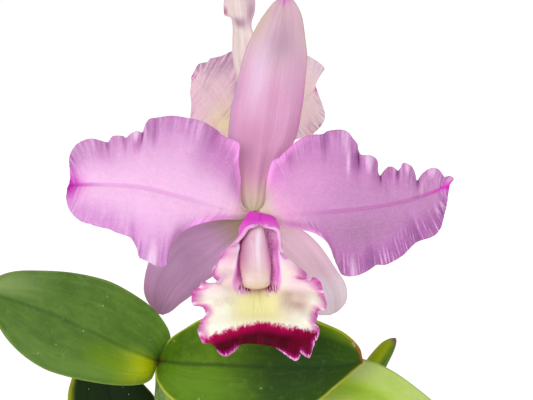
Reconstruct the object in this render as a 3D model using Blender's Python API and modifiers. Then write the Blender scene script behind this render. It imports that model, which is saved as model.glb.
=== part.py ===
"""A cattleya orchid in flower, standing in a plain pot of bark.

Sizes are in millimetres and are scaled to metres as the meshes are made.
The pot stands on the origin with +Z up. The open flower faces a viewer who
looks down at it by VIEW_TILT, along +Y.
"""

import math
import random

import bmesh
import bpy
import numpy as np
from mathutils import Matrix, Quaternion, Vector

MM = 0.001
COLLECTION = "cattleya_orchid"
GAP = 0.3

# The front flower's own plane: x to the right, y up, z towards the viewer.
VIEW_TILT = math.radians(25.0)
VIEW_DISTANCE = 520.0
VIEW_CENTRE = (6.0, 4.7)
FLOWER_AT = Vector((-6.0, -5.0, 252.0))
FLOWER_X = Vector((1.0, 0.0, 0.0))
FLOWER_Y = Vector((0.0, math.sin(VIEW_TILT), math.cos(VIEW_TILT)))
FLOWER_Z = Vector((0.0, -math.cos(VIEW_TILT), math.sin(VIEW_TILT)))

# Pot and bark.
POT_HEIGHT = 105.0
POT_BASE_RADIUS = 40.0
POT_TOP_RADIUS = 55.0
POT_RIM_RADIUS = 60.0
POT_RIM_HEIGHT = 20.0
POT_WALL = 4.0
POT_FLOOR = 5.0
DRAIN_HOLE_RADIUS = 4.0
DRAIN_HOLE_RING = 22.0
DRAIN_HOLES = 4
POT_SIDES = 36
BARK_LEVEL = 95.0
BARK_CHIPS = 46
BARK_CHIP_SIZE = (18.0, 12.0, 5.0)
BARK_CHIP_RING = 38.0
BARK_CHIP_VARIETY = (0.8, 1.25)
BARK_CHIP_ROUGHNESS = (0.8, 1.0)
BARK_CHIP_LEAN = 16.0
BARK_CHIP_RISE = (0.2, 2.2)
BARK_SEED = 11
GOLDEN_TURN = math.pi * (3.0 - math.sqrt(5.0))

# Rhizome, pseudobulbs and new shoot, in pot coordinates.
RHIZOME_RADIUS = 4.5
RHIZOME_Z = 96.0
RHIZOME_PATH = ((-42, 20), (-34, 19), (-21, 11), (-9, 6), (1, 5), (14, 9), (25, 17), (32, 24))
ROOT_RADIUS = 1.5
ROOT_PATHS = (
    ((-30, 16), (-31, 2), (-25, -14), (-22, -30), (-24, -41)),
    ((-15, 8), (-10, -8), (-1, -20), (4, -34), (6, -43)),
    ((8, 7), (20, -2), (30, -14), (38, -24)),
    ((-24, 13), (-20, 28), (-12, 40)),
    ((18, 12), (14, 28), (19, 42)),
)
# Share of a root's length and its height there.
ROOT_HEIGHTS = ((0.0, 96.0), (0.25, 98.0), (0.75, 97.0), (1.0, 92.0))
# Room left in the bark round a pseudobulb's foot.
FOOT_WELL_RADIUS = 7.5
PSEUDOBULB_FEET = {"a": (-21, 11), "b": (1, 5), "c": (-34, 19)}
PSEUDOBULB_APEXES = {"a": (-33.3, -56.2, -34), "b": (5.5, -67.5, -35), "c": (-46, -95, -58)}
PSEUDOBULB_GIRTH = {"a": 10.5, "b": 11.5, "c": 7.5}
# Share of the height and share of the greatest radius, from the foot up.
PSEUDOBULB_PROFILE = ((0, 0.34), (0.06, 0.44), (0.2, 0.62), (0.4, 0.93), (0.6, 1.0), (0.8, 0.82),
                      (0.93, 0.56), (1.0, 0.44))
SHOOT_PATH = ((32, 24, 101.2), (33, 24, 118), (37, 25, 145), (43, 26, 165), (48.5, 26, 176), (52.2, 26, 181))
SHOOT_RADII = (3.5, 5.5, 6.2, 5.2, 3.2, 0.6)

# Flower parts.
TEPAL_THICKNESS = 0.9
LEAF_THICKNESS = 1.6
# How soon and how sharply a blade's cup and ruffle grow from its base.
SWELL_START = 0.06
SWELL_POWER = 0.6
# The lengthwise and crosswise cells of each kind of blade.
PETAL_CELLS = (24, 10)
DORSAL_CELLS = (16, 6)
LATERAL_CELLS = (14, 6)
REAR_PETAL_CELLS = (16, 8)
REAR_DORSAL_CELLS = (12, 4)
REAR_LATERAL_CELLS = (10, 4)
LONG_LEAF_CELLS = (18, 6)
LIGHT_LEAF_CELLS = (16, 6)
DARK_LEAF_CELLS = (14, 6)
LIP_CELLS = (22, 16)
REAR_LIP_CELLS = (18, 12)
HUB = (2.5, -0.5, -4.8)
REAR_HUB = (2.5, 26.0, -50.0)


def seen(x, y, z):
    """Return the place, in metres, of a point that the viewer sees at x, y in the
    flower's plane and that lies z in front of that plane."""
    spread = 1.0 - z / VIEW_DISTANCE
    across = VIEW_CENTRE[0] + (x - VIEW_CENTRE[0]) * spread
    up = VIEW_CENTRE[1] + (y - VIEW_CENTRE[1]) * spread
    return (FLOWER_AT + FLOWER_X * across + FLOWER_Y * up + FLOWER_Z * z) * MM


def along(points, share):
    """Return the point a share of the way along a smooth curve through points."""
    points = np.asarray(points, dtype=float)
    steps = np.linalg.norm(np.diff(points, axis=0), axis=1)
    knots = np.concatenate(([0.0], np.cumsum(steps))) / steps.sum()
    span = min(int(np.searchsorted(knots, share, side="right")) - 1, len(points) - 2)
    low, high = knots[span], knots[span + 1]
    width = high - low
    t = (share - low) / width

    def slope(index):
        before, after = max(index - 1, 0), min(index + 1, len(points) - 1)
        return (points[after] - points[before]) / (knots[after] - knots[before]) * width

    return (points[span] * (1 + 2 * t) * (1 - t) ** 2 + slope(span) * t * (1 - t) ** 2
            + points[span + 1] * t * t * (3 - 2 * t) + slope(span + 1) * t * t * (t - 1))


def material(name, colour, roughness):
    """Return a plain Principled material."""
    made = bpy.data.materials.new(name)
    made.use_nodes = True
    shader = made.node_tree.nodes["Principled BSDF"]
    shader.inputs["Base Color"].default_value = (*colour, 1.0)
    shader.inputs["Roughness"].default_value = roughness
    return made


def add_object(name, data, finish):
    """Put data in the model as an object with one material."""
    made = bpy.data.objects.new(name, data)
    bpy.data.collections[COLLECTION].objects.link(made)
    if finish:
        data.materials.clear()
        data.materials.append(finish)
    return made


def sheet(name, finish, place, lengthwise, crosswise, thickness):
    """Make a thin curved sheet: place(u, v) gives a point for u 0 to 1 and v -1 to 1."""
    bm = bmesh.new()
    bmesh.ops.create_grid(bm, x_segments=lengthwise, y_segments=crosswise, size=1.0)
    for vert in bm.verts:
        vert.co = place((vert.co.x + 1.0) / 2.0, vert.co.y)
    bmesh.ops.triangulate(bm, faces=bm.faces[:])
    mesh = bpy.data.meshes.new(name)
    bm.to_mesh(mesh)
    bm.free()
    mesh.shade_smooth()
    made = add_object(name, mesh, finish)
    shell = made.modifiers.new("Thickness", "SOLIDIFY")
    shell.thickness = thickness * MM
    shell.offset = 0.0
    return made


def blade(name, finish, form, cells, thickness):
    """Make a petal, sepal or leaf from its midrib and its two margins.

    The midrib has x, y and z; a margin has x and y. Each margin bends out of
    the midrib's plane by its cup, and waves by its ruffle.
    """
    def place(u, v):
        rib = along(form["midrib"], u)
        side = "left" if v > 0 else "right"
        edge = along(form[side], u)
        out = abs(v)
        swell = math.sin(math.pi * min(1.0, SWELL_START + u)) ** SWELL_POWER
        height, waves, phase = form.get("ruffle_" + side, (0.0, 0.0, 0.0))
        depth = rib[2] + form.get("cup_" + side, 0.0) * out ** 2 * swell
        depth += height * out ** 3 * swell * math.sin(2 * math.pi * (waves * u + phase))
        return seen(rib[0] + (edge[0] - rib[0]) * out, rib[1] + (edge[1] - rib[1]) * out, depth)

    return sheet(name, finish, place, cells[0], cells[1], thickness)


def loft(name, finish, stations, cells, frill, thickness, shift=None):
    """Make a curved sheet through stations of points, with a frilled free margin."""
    frill_height, frill_waves, frill_start = frill

    def place(u, v):
        column = [along(station, (v + 1.0) / 2.0) for station in stations]
        x, y, z = along(column, u)
        wave = math.sin(2 * math.pi * frill_waves * u) if u < 0.9 else math.sin(math.pi * 5 * v)
        reach = max(abs(v) ** 4, u ** 8) * max(0.0, min(1.0, (u - frill_start) * 6.0))
        z += frill_height * wave * reach
        return shift(x, y, z) if shift else seen(x, y, z)

    return sheet(name, finish, place, cells[0], cells[1], thickness)


def hood_station(centre, wide, deep, span):
    """Return one nearly closed section of the lip's tube round the column."""
    points = []
    for index in range(9):
        angle = math.radians(span) * (index / 4.0 - 1.0)
        front = -math.cos(angle) * deep
        points.append((centre[0] + wide * math.sin(angle), centre[1] + front * 0.5, centre[2] + front * 0.87))
    return points


def rod(name, finish, points, radii, sides=2):
    """Make a round tube through points in metres, with a radius in millimetres at each."""
    curve = bpy.data.curves.new(name, "CURVE")
    curve.dimensions = "3D"
    curve.bevel_depth = MM
    curve.bevel_resolution = sides
    curve.use_fill_caps = True
    spline = curve.splines.new("POLY")
    spline.points.add(len(points) - 1)
    for point, place, radius in zip(spline.points, points, radii):
        point.co = (*place, 1.0)
        point.radius = radius
    return add_object(name, curve, finish)


def smooth_rod(name, finish, points, radii, count, sides=2):
    """Make a round tube along a smooth curve, with radii spread evenly along it."""
    shares = [index / (count - 1) for index in range(count)]
    places = [Vector(along([tuple(point) for point in points], share)) for share in shares]
    marks = [index / (len(radii) - 1) for index in range(len(radii))]
    return rod(name, finish, places, [float(np.interp(share, marks, radii)) for share in shares], sides)


def turned(name, finish, profile, steps):
    """Make a turned solid from a profile of radius and height, inside to outside."""
    bm = bmesh.new()
    verts = [bm.verts.new((radius * MM, 0.0, height * MM)) for radius, height in profile]
    for first, second in zip(verts, verts[1:]):
        bm.edges.new((first, second))
    mesh = bpy.data.meshes.new(name)
    bm.to_mesh(mesh)
    bm.free()
    made = add_object(name, mesh, finish)
    turn = made.modifiers.new("Turn", "SCREW")
    turn.steps = steps
    turn.render_steps = steps
    turn.use_merge_vertices = True
    turn.merge_threshold = 0.00005
    turn.use_smooth_shade = True
    return made


def to_mesh(made, weld=0.01):
    """Replace an object by its evaluated mesh, with any loose caps welded."""
    bpy.context.view_layer.update()
    evaluated = made.evaluated_get(bpy.context.evaluated_depsgraph_get())
    mesh = bpy.data.meshes.new_from_object(evaluated)
    bm = bmesh.new()
    bm.from_mesh(mesh)
    bmesh.ops.remove_doubles(bm, verts=bm.verts[:], dist=weld * MM)
    bmesh.ops.recalc_face_normals(bm, faces=bm.faces[:])
    bm.to_mesh(mesh)
    bm.free()
    name = made.name
    place = made.matrix_world.copy()
    bpy.data.objects.remove(made)
    solid = add_object(name, mesh, None)
    solid.matrix_world = place
    return solid


def combine(base, others, operation, solver="EXACT"):
    """Join or cut base with other mesh objects, apply it and remove them."""
    group = bpy.data.collections.new(base.name + "_parts")
    bpy.context.scene.collection.children.link(group)
    for other in others:
        bpy.data.collections[COLLECTION].objects.unlink(other)
        group.objects.link(other)
        other.hide_render = True
        other.display_type = "WIRE"
    change = base.modifiers.new(operation.title(), "BOOLEAN")
    change.operation = operation
    change.operand_type = "COLLECTION"
    change.collection = group
    change.solver = solver
    solid = to_mesh(base, weld=0.00001)
    for other in list(group.objects):
        bpy.data.objects.remove(other)
    bpy.data.collections.remove(group)
    return solid


def largest_body(made):
    """Keep only the largest connected body of a mesh object."""
    bm = bmesh.new()
    bm.from_mesh(made.data)
    bm.verts.ensure_lookup_table()
    unseen = set(bm.verts)
    bodies = []
    while unseen:
        stack = [unseen.pop()]
        body = set(stack)
        while stack:
            for edge in stack.pop().link_edges:
                for vert in edge.verts:
                    if vert in unseen:
                        unseen.remove(vert)
                        body.add(vert)
                        stack.append(vert)
        bodies.append(body)
    keep = max(bodies, key=len)
    bmesh.ops.delete(bm, geom=[vert for vert in bm.verts if vert not in keep], context="VERTS")
    bm.to_mesh(made.data)
    bm.free()
    return made


# The rear flower's own axes, written in the front flower's plane.
REAR_FACING = Vector((0.35, 0.3, -0.88)).normalized()
REAR_ACROSS = Vector((-0.1, 0.95, 0.29)).cross(REAR_FACING).normalized()
REAR_UP = REAR_FACING.cross(REAR_ACROSS)
REAR_SIZE = 0.9

# Forms of the tepals and leaves, from the base to the tip. Left and right are as seen
# when looking from the base to the tip. A ruffle is height, waves and phase.
LEFT_PETAL = {
    "midrib": ((-1.0, -0.4, -5.8), (-5, 0.4, -3), (-12, 2, 0), (-24, 5.5, 3), (-40, 9.3, 3), (-55, 10.3, 0),
               (-66, 10, -4)),
    "right": ((-1.0, 2.1), (-3, 4.5), (-3.5, 12), (-4, 20), (-5, 26), (-10, 28.4), (-15, 32), (-22.5, 34.5),
              (-29, 35.2), (-36.5, 34), (-39.5, 29.6), (-45, 27.6), (-51, 26), (-57, 27), (-62, 25.8),
              (-65.3, 21), (-65.5, 13), (-65.8, 11)),
    "left": ((-1.0, -2.9), (-3.5, -2.6), (-10, -2.3), (-18, -3.8), (-25, -7), (-28.5, -12), (-30, -18),
              (-33, -19.7), (-38, -17.2), (-40.5, -14.5), (-43, -9.4), (-49, -7), (-57, -4.5), (-63, -2),
              (-66.5, 3), (-66.4, 8.6)),
    "cup_right": -2.5, "cup_left": -4.0,
    "ruffle_right": (3.0, 5.0, 0.1), "ruffle_left": (3.0, 4.0, 0.4),
}
RIGHT_PETAL = {
    "midrib": ((6.0, -0.4, -5.8), (10, -0.4, -3), (18, -0.4, 0), (30, 0.4, 3), (44, 2, 3), (58, 4.7, 0),
               (72.5, 10, -4)),
    "left": ((6.0, 2.1), (5.7, 6), (6.3, 12), (8.3, 19), (12, 21.6), (17, 26), (23, 28.5), (31, 30.2),
              (37.5, 27), (39.5, 22), (45, 20), (47, 14), (52, 16.8), (58, 17.2), (60.5, 12), (66, 16.2),
              (70.5, 13.8), (73.5, 13.2), (73, 11.2)),
    "right": ((6.0, -2.9), (10, -3.5), (14, -5), (20, -6.2), (26, -8.8), (30.5, -16), (34, -22.7),
              (41, -22), (47, -18.8), (53, -17), (58, -13), (63, -9.8), (68.5, -6.5), (71.3, 0), (72, 7.8)),
    "cup_left": -2.5, "cup_right": -4.0,
    "ruffle_left": (3.0, 5.0, 0.6), "ruffle_right": (3.0, 4.5, 0.1),
}
DORSAL_SEPAL = {
    "midrib": ((2.5, 3.2, -8.8), (2.5, 10, -7.5), (4, 24, -7), (6.5, 42, -7), (9.5, 60, -9), (13, 79.5, -14)),
    "left": ((0.1, 3.2), (-3.4, 7), (-6.5, 16), (-7.8, 27), (-7.2, 35), (-5.2, 44), (-1.5, 59.5), (4, 70.5),
              (8.5, 76.5), (12, 79.2)),
    "right": ((4.9, 3.2), (6.0, 9), (11, 18), (16, 26), (18.3, 35), (20, 48), (20.8, 57), (19.5, 68),
              (17, 75.8), (14, 79.2)),
    "cup_left": -3.0, "cup_right": -3.0,
}
LEFT_LATERAL_SEPAL = {
    "midrib": ((-0.1, -3.1, -8.8), (-9, -9.5, -13), (-20, -17.5, -24), (-28.5, -26, -34), (-33.2, -36.6, -40)),
    "right": ((-1.8, -1.4), (-12, -2.5), (-23, -5), (-31, -10), (-36, -16), (-38.5, -24), (-38.4, -29.5),
              (-34.4, -36)),
    "left": ((1.5, -4.9), (-2.5, -11), (-7, -17), (-12.5, -22.3), (-17, -25.3), (-23, -31), (-31, -36.7)),
    "cup_left": -1.5, "cup_right": 2.0,
}
RIGHT_LATERAL_SEPAL = {
    "midrib": ((5.1, -3.1, -8.8), (11, -9.5, -13), (19, -18, -24), (26, -27, -34), (30.2, -36.5, -40)),
    "left": ((6.8, -1.4), (10, -3), (18.5, -6), (25, -11.5), (32, -21.5), (35.2, -28.5), (34.5, -33),
              (31.4, -36)),
    "right": ((3.5, -4.9), (6, -12), (10, -20), (15, -28), (20, -34), (25, -37), (29, -37)),
    "cup_left": 2.0, "cup_right": -1.5,
}
REAR_LEFT_PETAL = {
    "midrib": ((-1.5, 26.6, -49.5), (-6, 31, -52), (-12, 38.5, -58), (-17, 46, -66), (-20.7, 50.3, -72)),
    "right": ((-1.5, 29), (-1, 38), (-0.5, 47), (-0.5, 54), (-1.8, 59.3), (-8.5, 58.2), (-14.5, 55.5),
              (-18.5, 53.5), (-20.3, 51)),
    "left": ((-1.5, 24.4), (-8, 25), (-15, 28), (-21.7, 35), (-21.1, 42), (-21.4, 46), (-21.2, 49.5)),
    "cup_left": -3.0, "cup_right": -3.0,
    "ruffle_left": (2.0, 3.0, 0.2), "ruffle_right": (2.0, 3.5, 0.5),
}
REAR_RIGHT_PETAL = {
    "midrib": ((6.6, 27.3, -49.8), (11, 31, -52.5), (17, 38.5, -60), (21.5, 43.5, -68), (24, 45.2, -73)),
    "left": ((6.4, 29.3), (9, 40), (13, 50), (17, 56), (21, 57), (27, 52.7), (24, 49.5), (23.6, 46.2)),
    "right": ((6.9, 25.4), (11.5, 25.8), (16, 26.6), (22.5, 28.5), (27, 34), (26.4, 39), (24.4, 44)),
    "cup_left": -3.0, "cup_right": -3.0,
    "ruffle_left": (2.0, 3.5, 0.2), "ruffle_right": (2.0, 3.0, 0.5),
}
REAR_DORSAL_SEPAL = {
    "midrib": ((1.4, 28.9, -47), (0.5, 40, -45), (-1.5, 56, -44), (-3, 70, -45), (-4, 84.5, -50)),
    "left": ((-0.8, 28.9), (-3, 40), (-6, 55), (-6.2, 66), (-9, 73), (-8.6, 79), (-5.2, 84.3)),
    "right": ((3.6, 28.9), (4.5, 42), (4, 55), (1.5, 66), (1.7, 73), (1, 79), (-2.8, 84.3)),
    "cup_left": 2.0, "cup_right": 2.0,
}
REAR_LEFT_LATERAL_SEPAL = {
    "midrib": ((-1.2, 22.4, -47.5), (-7, 16, -48), (-14, 9, -50), (-20, 1, -52)),
    "right": ((-2.7, 24), (-10, 20), (-17.5, 12), (-20.8, 1.8)),
    "left": ((0.3, 20.9), (-3, 12), (-10, 4), (-19, 0.6)),
    "cup_left": 1.5, "cup_right": 1.5,
}
REAR_RIGHT_LATERAL_SEPAL = {
    "midrib": ((4.1, 22.8, -48.5), (10.5, 16, -49.5), (18, 8.5, -52), (24, 1, -55)),
    "left": ((5.6, 24.3), (13.5, 20), (21, 12), (24.8, 1.8)),
    "right": ((2.6, 21.3), (6, 12), (13.5, 4), (23, 0.6)),
    "cup_left": 1.5, "cup_right": 1.5,
}
LEFT_LEAF = {
    "midrib": ((-34.3, -53.6, -33.5), (-36.5, -52.6, -28.5), (-40, -51.2, -25), (-47, -48.4, -23.5),
               (-57, -43.5, -23), (-74.5, -36, -24), (-96, -28.5, -30)),
    "right": ((-34.1, -52), (-32, -49), (-28.9, -45), (-30.5, -40.8), (-35, -35), (-42, -29.8), (-50, -25.4),
              (-57, -23.2), (-66, -21.6), (-76, -21), (-86, -21.3), (-93, -23.8), (-96, -27.6)),
    "left": ((-34.5, -55.3), (-35.2, -58), (-36, -60.6), (-39, -62.2), (-47, -62.7), (-57, -61.5),
              (-66, -59.6), (-75, -56.6), (-84, -50.5), (-91, -42), (-95.8, -29.6)),
    "cup_left": 2.5, "cup_right": 3.0,
}
CENTRE_LEAF = {
    "midrib": ((-32.3, -53.9, -33.5), (-29.5, -54.2, -28), (-24, -54.8, -20), (-10, -55.3, -11), (2, -56, -7),
               (14, -56.3, -5), (30, -56, -5), (41, -54.4, -7)),
    "left": ((-32.3, -52.2), (-31, -49), (-28.3, -45.4), (-24, -42.5), (-18, -38.7), (-8, -35.5), (6, -34.5),
              (18, -36.8), (28, -40.5), (35, -44), (39.8, -49), (41, -53.4)),
    "right": ((-32.5, -55.3), (-34.2, -60.4), (-33.5, -64), (-30, -68), (-20, -73.5), (-6, -76.5), (10, -75.5),
              (22, -70.5), (32, -62.7), (37.2, -58), (40.6, -55.2)),
    "cup_left": 2.0, "cup_right": 3.0,
}
LIGHT_LEAF = {
    "midrib": ((7.2, -65.3, -34.5), (12, -63, -30), (22, -62.5, -26), (35, -64, -22), (50, -69, -20),
               (65, -78, -22), (80, -92, -27)),
    "left": ((7, -63.6), (14, -56), (24, -52.5), (34, -52.2), (44, -53.9), (52, -57.6), (61, -64), (68, -70),
              (76, -79), (80.5, -90.5)),
    "right": ((7.3, -67.2), (12, -70), (20, -74.5), (33, -79), (47, -84.5), (60, -90.5), (70, -94.5),
              (79.2, -93.2)),
    "cup_left": -2.0, "cup_right": 2.5,
}
DARK_LEAF = {
    "midrib": ((-46.5, -92.8, -57.5), (-48, -84, -57.5), (-50, -72, -56), (-53, -58, -52), (-56, -44, -46)),
    "left": ((-48.2, -92.8), (-57, -86), (-64.5, -77), (-66.2, -67), (-64.3, -59), (-61, -51), (-57, -44.6)),
    "right": ((-44.7, -92.8), (-36, -86), (-32.5, -76), (-34, -67), (-39.5, -59), (-46, -51), (-55, -44.6)),
    "cup_left": 2.0, "cup_right": -2.0,
}

# Sections of the lip, from the column's foot to the free edge, each left to right.
LIP_STATIONS = (
    hood_station((3.2, -1.9, -1.8), 3.8, 2.9, 163),
    hood_station((3.6, -4.0, -0.6), 5.2, 3.6, 160),
    hood_station((3.7, -7.0, 1.4), 6.2, 5.0, 150),
    hood_station((3.7, -10.5, 3.2), 6.8, 5.0, 112),
    ((-9.5, -15.2, 10), (-7.2, -13.4, 10.5), (-5.3, -13, 9), (-4.9, -16, 4.5), (2.8, -18, 1), (9.4, -16.5, 4),
     (10.6, -14, 9), (11.6, -15.5, 10.5), (13.2, -17.4, 10)),
    ((-13.6, -21.4, 11), (-10.5, -18, 12.5), (-6.6, -17.5, 11.5), (-5.9, -21, 6.5), (2.5, -24, 3.5),
     (10.2, -21.5, 6.5), (12, -18.5, 11.5), (15.5, -18.8, 12.5), (20, -22, 11)),
    ((-11.4, -25.8, 15), (-9.5, -23.5, 15.5), (-6.9, -23, 13.5), (-4.5, -26.5, 9), (2.8, -28.5, 7.5),
     (9.5, -27, 9), (12.5, -24, 13.5), (16.5, -24.5, 15.5), (20.6, -25.6, 15)),
    ((-20.8, -30.5, 15), (-15, -28.5, 17), (-9, -29, 17), (-3, -30.5, 15), (3.3, -31.5, 14), (9, -31, 15),
     (15, -29.5, 17), (21.5, -28.5, 17.5), (27, -31.5, 16)),
    ((-17.2, -36.8, 18), (-13, -35, 20.5), (-8, -35, 21), (-2.5, -35.8, 20), (3.5, -36.3, 19.5), (9.5, -36, 20),
     (16, -35.5, 21), (21.5, -35, 20.5), (25.5, -36.5, 18.5)),
    ((-19, -43, 21), (-14, -41.5, 24), (-8.5, -40.5, 25.5), (-2.5, -40, 26), (3.5, -39.8, 26), (9.5, -40.3, 26),
     (15.5, -41, 25.5), (20.5, -42, 24), (24.8, -43, 21)),
    ((-17, -46.8, 22), (-13, -46.2, 25), (-8.5, -45.8, 27), (-2.5, -44.5, 27.5), (3.5, -44, 27.5),
     (9.5, -45, 27.5), (15, -46.5, 27), (20, -47.5, 25), (24, -46.5, 22)),
    ((-14.5, -48.5, 21), (-12, -51, 23.5), (-8.8, -52, 25.5), (-3.5, -48.3, 24.5), (3.5, -47.6, 24),
     (9.5, -48.8, 25), (16, -53.5, 26), (20.8, -52, 24), (23, -49.3, 21.5)),
)
LIP_FRILL = (1.2, 9.0, 0.35)

# The column's middle line, with its half width and half thickness, from foot to tip.
COLUMN_LINE = ((3.0, -1.2, -2.2), (2.4, -7.5, 1.4), (1.8, -14.5, 5.5), (1.9, -21, 9.2), (2.9, -27.6, 13))
COLUMN_HALF_WIDTHS = (1.9, 2.9, 3.7, 4.7, 5.5, 5.6, 4.9, 3.2)
COLUMN_HALF_DEPTHS = (1.6, 2.0, 2.4, 2.8, 3.1, 3.1, 2.6, 1.7)
COLUMN_OUTWARD = (0.0, 0.5, 0.87)

STEM_PATH = ((2.8, -67.0, -35), (3.0, -55, -29.5), (3.0, -40, -24.5), (3.0, -27, -21.5), (3.0, -15, -19.5),
             (2.8, -6.5, -16.5), (2.6, -1.6, -11.8), (HUB[0], HUB[1], -8.6), HUB)
STEM_RADII = (2.6, 2.3, 2.2, 2.2, 2.0, 2.0, 2.4, 3.0, 3.2)
REAR_STEM_PATH = ((3.0, -29, -22.2), (3.2, -15, -27.5), (3.0, 0, -33), (2.4, 12, -37), (1.6, 20, -40.5),
                  (1.3, 24.2, -44.8), (2.2, 25.8, -49.3))
REAR_STEM_RADII = (1.8, 1.9, 1.9, 2.0, 2.3, 3.0, 3.2)


def seen_all(points):
    """Return the places of several points seen in the flower's plane."""
    return [seen(*point) for point in points]


def rear(x, y, z):
    """Return the place of a point of the front flower as it lies on the rear flower."""
    spread = 1.0 - REAR_HUB[2] / VIEW_DISTANCE
    offset = (REAR_ACROSS * (x - HUB[0]) + REAR_UP * (y - HUB[1]) + REAR_FACING * (z - HUB[2])) * REAR_SIZE
    across = VIEW_CENTRE[0] + (REAR_HUB[0] - VIEW_CENTRE[0]) * spread + offset.x
    up = VIEW_CENTRE[1] + (REAR_HUB[1] - VIEW_CENTRE[1]) * spread + offset.y
    return (FLOWER_AT + FLOWER_X * across + FLOWER_Y * up + FLOWER_Z * (REAR_HUB[2] + offset.z)) * MM


def column(name, finish, shift=None):
    """Make the column: a flattened club with a rounded tip."""
    rings, sides = 9, 12
    bm = bmesh.new()
    bmesh.ops.create_uvsphere(bm, u_segments=sides, v_segments=rings, radius=1.0)
    for vert in bm.verts:
        share = 1.0 - math.acos(max(-1.0, min(1.0, vert.co.z))) / math.pi
        around = Vector((vert.co.x, vert.co.y))
        if around.length > 0.01:
            around.normalize()
        middle = along(COLUMN_LINE, share)
        marks = np.linspace(0.0, 1.0, len(COLUMN_HALF_WIDTHS))
        width = float(np.interp(share, marks, COLUMN_HALF_WIDTHS)) * around.x
        depth = float(np.interp(share, marks, COLUMN_HALF_DEPTHS)) * around.y
        point = (middle[0] + width, middle[1] + COLUMN_OUTWARD[1] * depth, middle[2] + COLUMN_OUTWARD[2] * depth)
        vert.co = shift(*point) if shift else seen(*point)
    mesh = bpy.data.meshes.new(name)
    bm.to_mesh(mesh)
    bm.free()
    mesh.shade_smooth()
    return add_object(name, mesh, finish)


def pot_inner_radius(height):
    """Return the radius of the pot's inside at a height."""
    return POT_BASE_RADIUS + (POT_TOP_RADIUS - POT_BASE_RADIUS) * height / POT_HEIGHT - POT_WALL


def cylinder(name, radius, low, high, centre, sides=12):
    """Make an upright cylinder between two heights."""
    bm = bmesh.new()
    middle = Matrix.Translation(Vector((centre[0], centre[1], (low + high) / 2.0)) * MM)
    bmesh.ops.create_cone(bm, cap_ends=True, segments=sides, radius1=radius * MM, radius2=radius * MM,
                          depth=(high - low) * MM, matrix=middle)
    mesh = bpy.data.meshes.new(name)
    bm.to_mesh(mesh)
    bm.free()
    return add_object(name, mesh, None)


def build_pot(finish):
    """Make the pot: a turned cone with a rim collar and drain holes in its floor."""
    rim_foot = POT_HEIGHT - POT_RIM_HEIGHT
    profile = (
        (0.0, POT_FLOOR), (pot_inner_radius(POT_FLOOR) - 1.0, POT_FLOOR),
        (pot_inner_radius(POT_FLOOR + 1.5), POT_FLOOR + 1.5), (pot_inner_radius(POT_HEIGHT), POT_HEIGHT - 0.8),
        (pot_inner_radius(POT_HEIGHT) + 0.8, POT_HEIGHT), (POT_RIM_RADIUS - 1.2, POT_HEIGHT),
        (POT_RIM_RADIUS, POT_HEIGHT - 1.2), (POT_RIM_RADIUS - 0.8, rim_foot + 1.0), (POT_RIM_RADIUS - 1.8, rim_foot),
        (pot_inner_radius(rim_foot) + POT_WALL, rim_foot - 1.0), (POT_BASE_RADIUS + 0.3, 1.5),
        (POT_BASE_RADIUS - 1.2, 0.0), (0.0, 0.0),
    )
    pot = to_mesh(turned("pot", finish, profile, POT_SIDES))
    holes = []
    for index in range(DRAIN_HOLES):
        angle = 2.0 * math.pi * (index + 0.5) / DRAIN_HOLES
        centre = (DRAIN_HOLE_RING * math.cos(angle), DRAIN_HOLE_RING * math.sin(angle))
        holes.append(cylinder(f"drain_hole_{index}", DRAIN_HOLE_RADIUS, -1.0, POT_FLOOR + 1.0, centre))
    return combine(pot, holes, "DIFFERENCE")


def rhizome_parts(finish, swell):
    """Make the creeping stem and its roots as separate tubes, swollen by a margin."""
    ends = [(x * MM, y * MM, RHIZOME_Z * MM) for x, y in RHIZOME_PATH]
    parts = [smooth_rod("rhizome", finish, ends, (RHIZOME_RADIUS + swell,) * 2, 12)]
    for index, path in enumerate(ROOT_PATHS):
        heights = np.interp(np.linspace(0, 1, len(path)), *zip(*ROOT_HEIGHTS))
        points = [(x * MM, y * MM, z * MM) for (x, y), z in zip(path, heights)]
        parts.append(smooth_rod(f"root_{index}", finish, points, (ROOT_RADIUS + swell,) * 2, 8, sides=1))
    return [to_mesh(part) for part in parts]


def build_rhizome(finish):
    """Join the creeping stem and its roots in one body."""
    stem, *roots = rhizome_parts(finish, 0.0)
    return combine(stem, roots, "UNION")


def bark_chip(index, rng):
    """Make one rough chip of bark on the surface of the bark."""
    turn = index * GOLDEN_TURN
    ring = BARK_CHIP_RING * math.sqrt((index + 0.5) / BARK_CHIPS)
    size = Matrix.Diagonal([length * rng.uniform(*BARK_CHIP_VARIETY) * MM for length in BARK_CHIP_SIZE]).to_4x4()
    tilt = math.radians(rng.uniform(-BARK_CHIP_LEAN, BARK_CHIP_LEAN))
    lean = Quaternion((math.cos(turn), math.sin(turn), 0.0), tilt)
    spin = Quaternion((0.0, 0.0, 1.0), rng.uniform(0.0, math.pi))
    middle = Vector((ring * math.cos(turn), ring * math.sin(turn), BARK_LEVEL + rng.uniform(*BARK_CHIP_RISE)))
    bm = bmesh.new()
    bmesh.ops.create_cube(bm, size=1.0)
    for vert in bm.verts:
        vert.co *= rng.uniform(*BARK_CHIP_ROUGHNESS)
    bmesh.ops.transform(bm, matrix=Matrix.Translation(middle * MM) @ (lean @ spin).to_matrix().to_4x4() @ size,
                        verts=bm.verts[:])
    mesh = bpy.data.meshes.new("chip")
    bm.to_mesh(mesh)
    bm.free()
    return add_object(f"chip_{index}", mesh, None)


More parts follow.
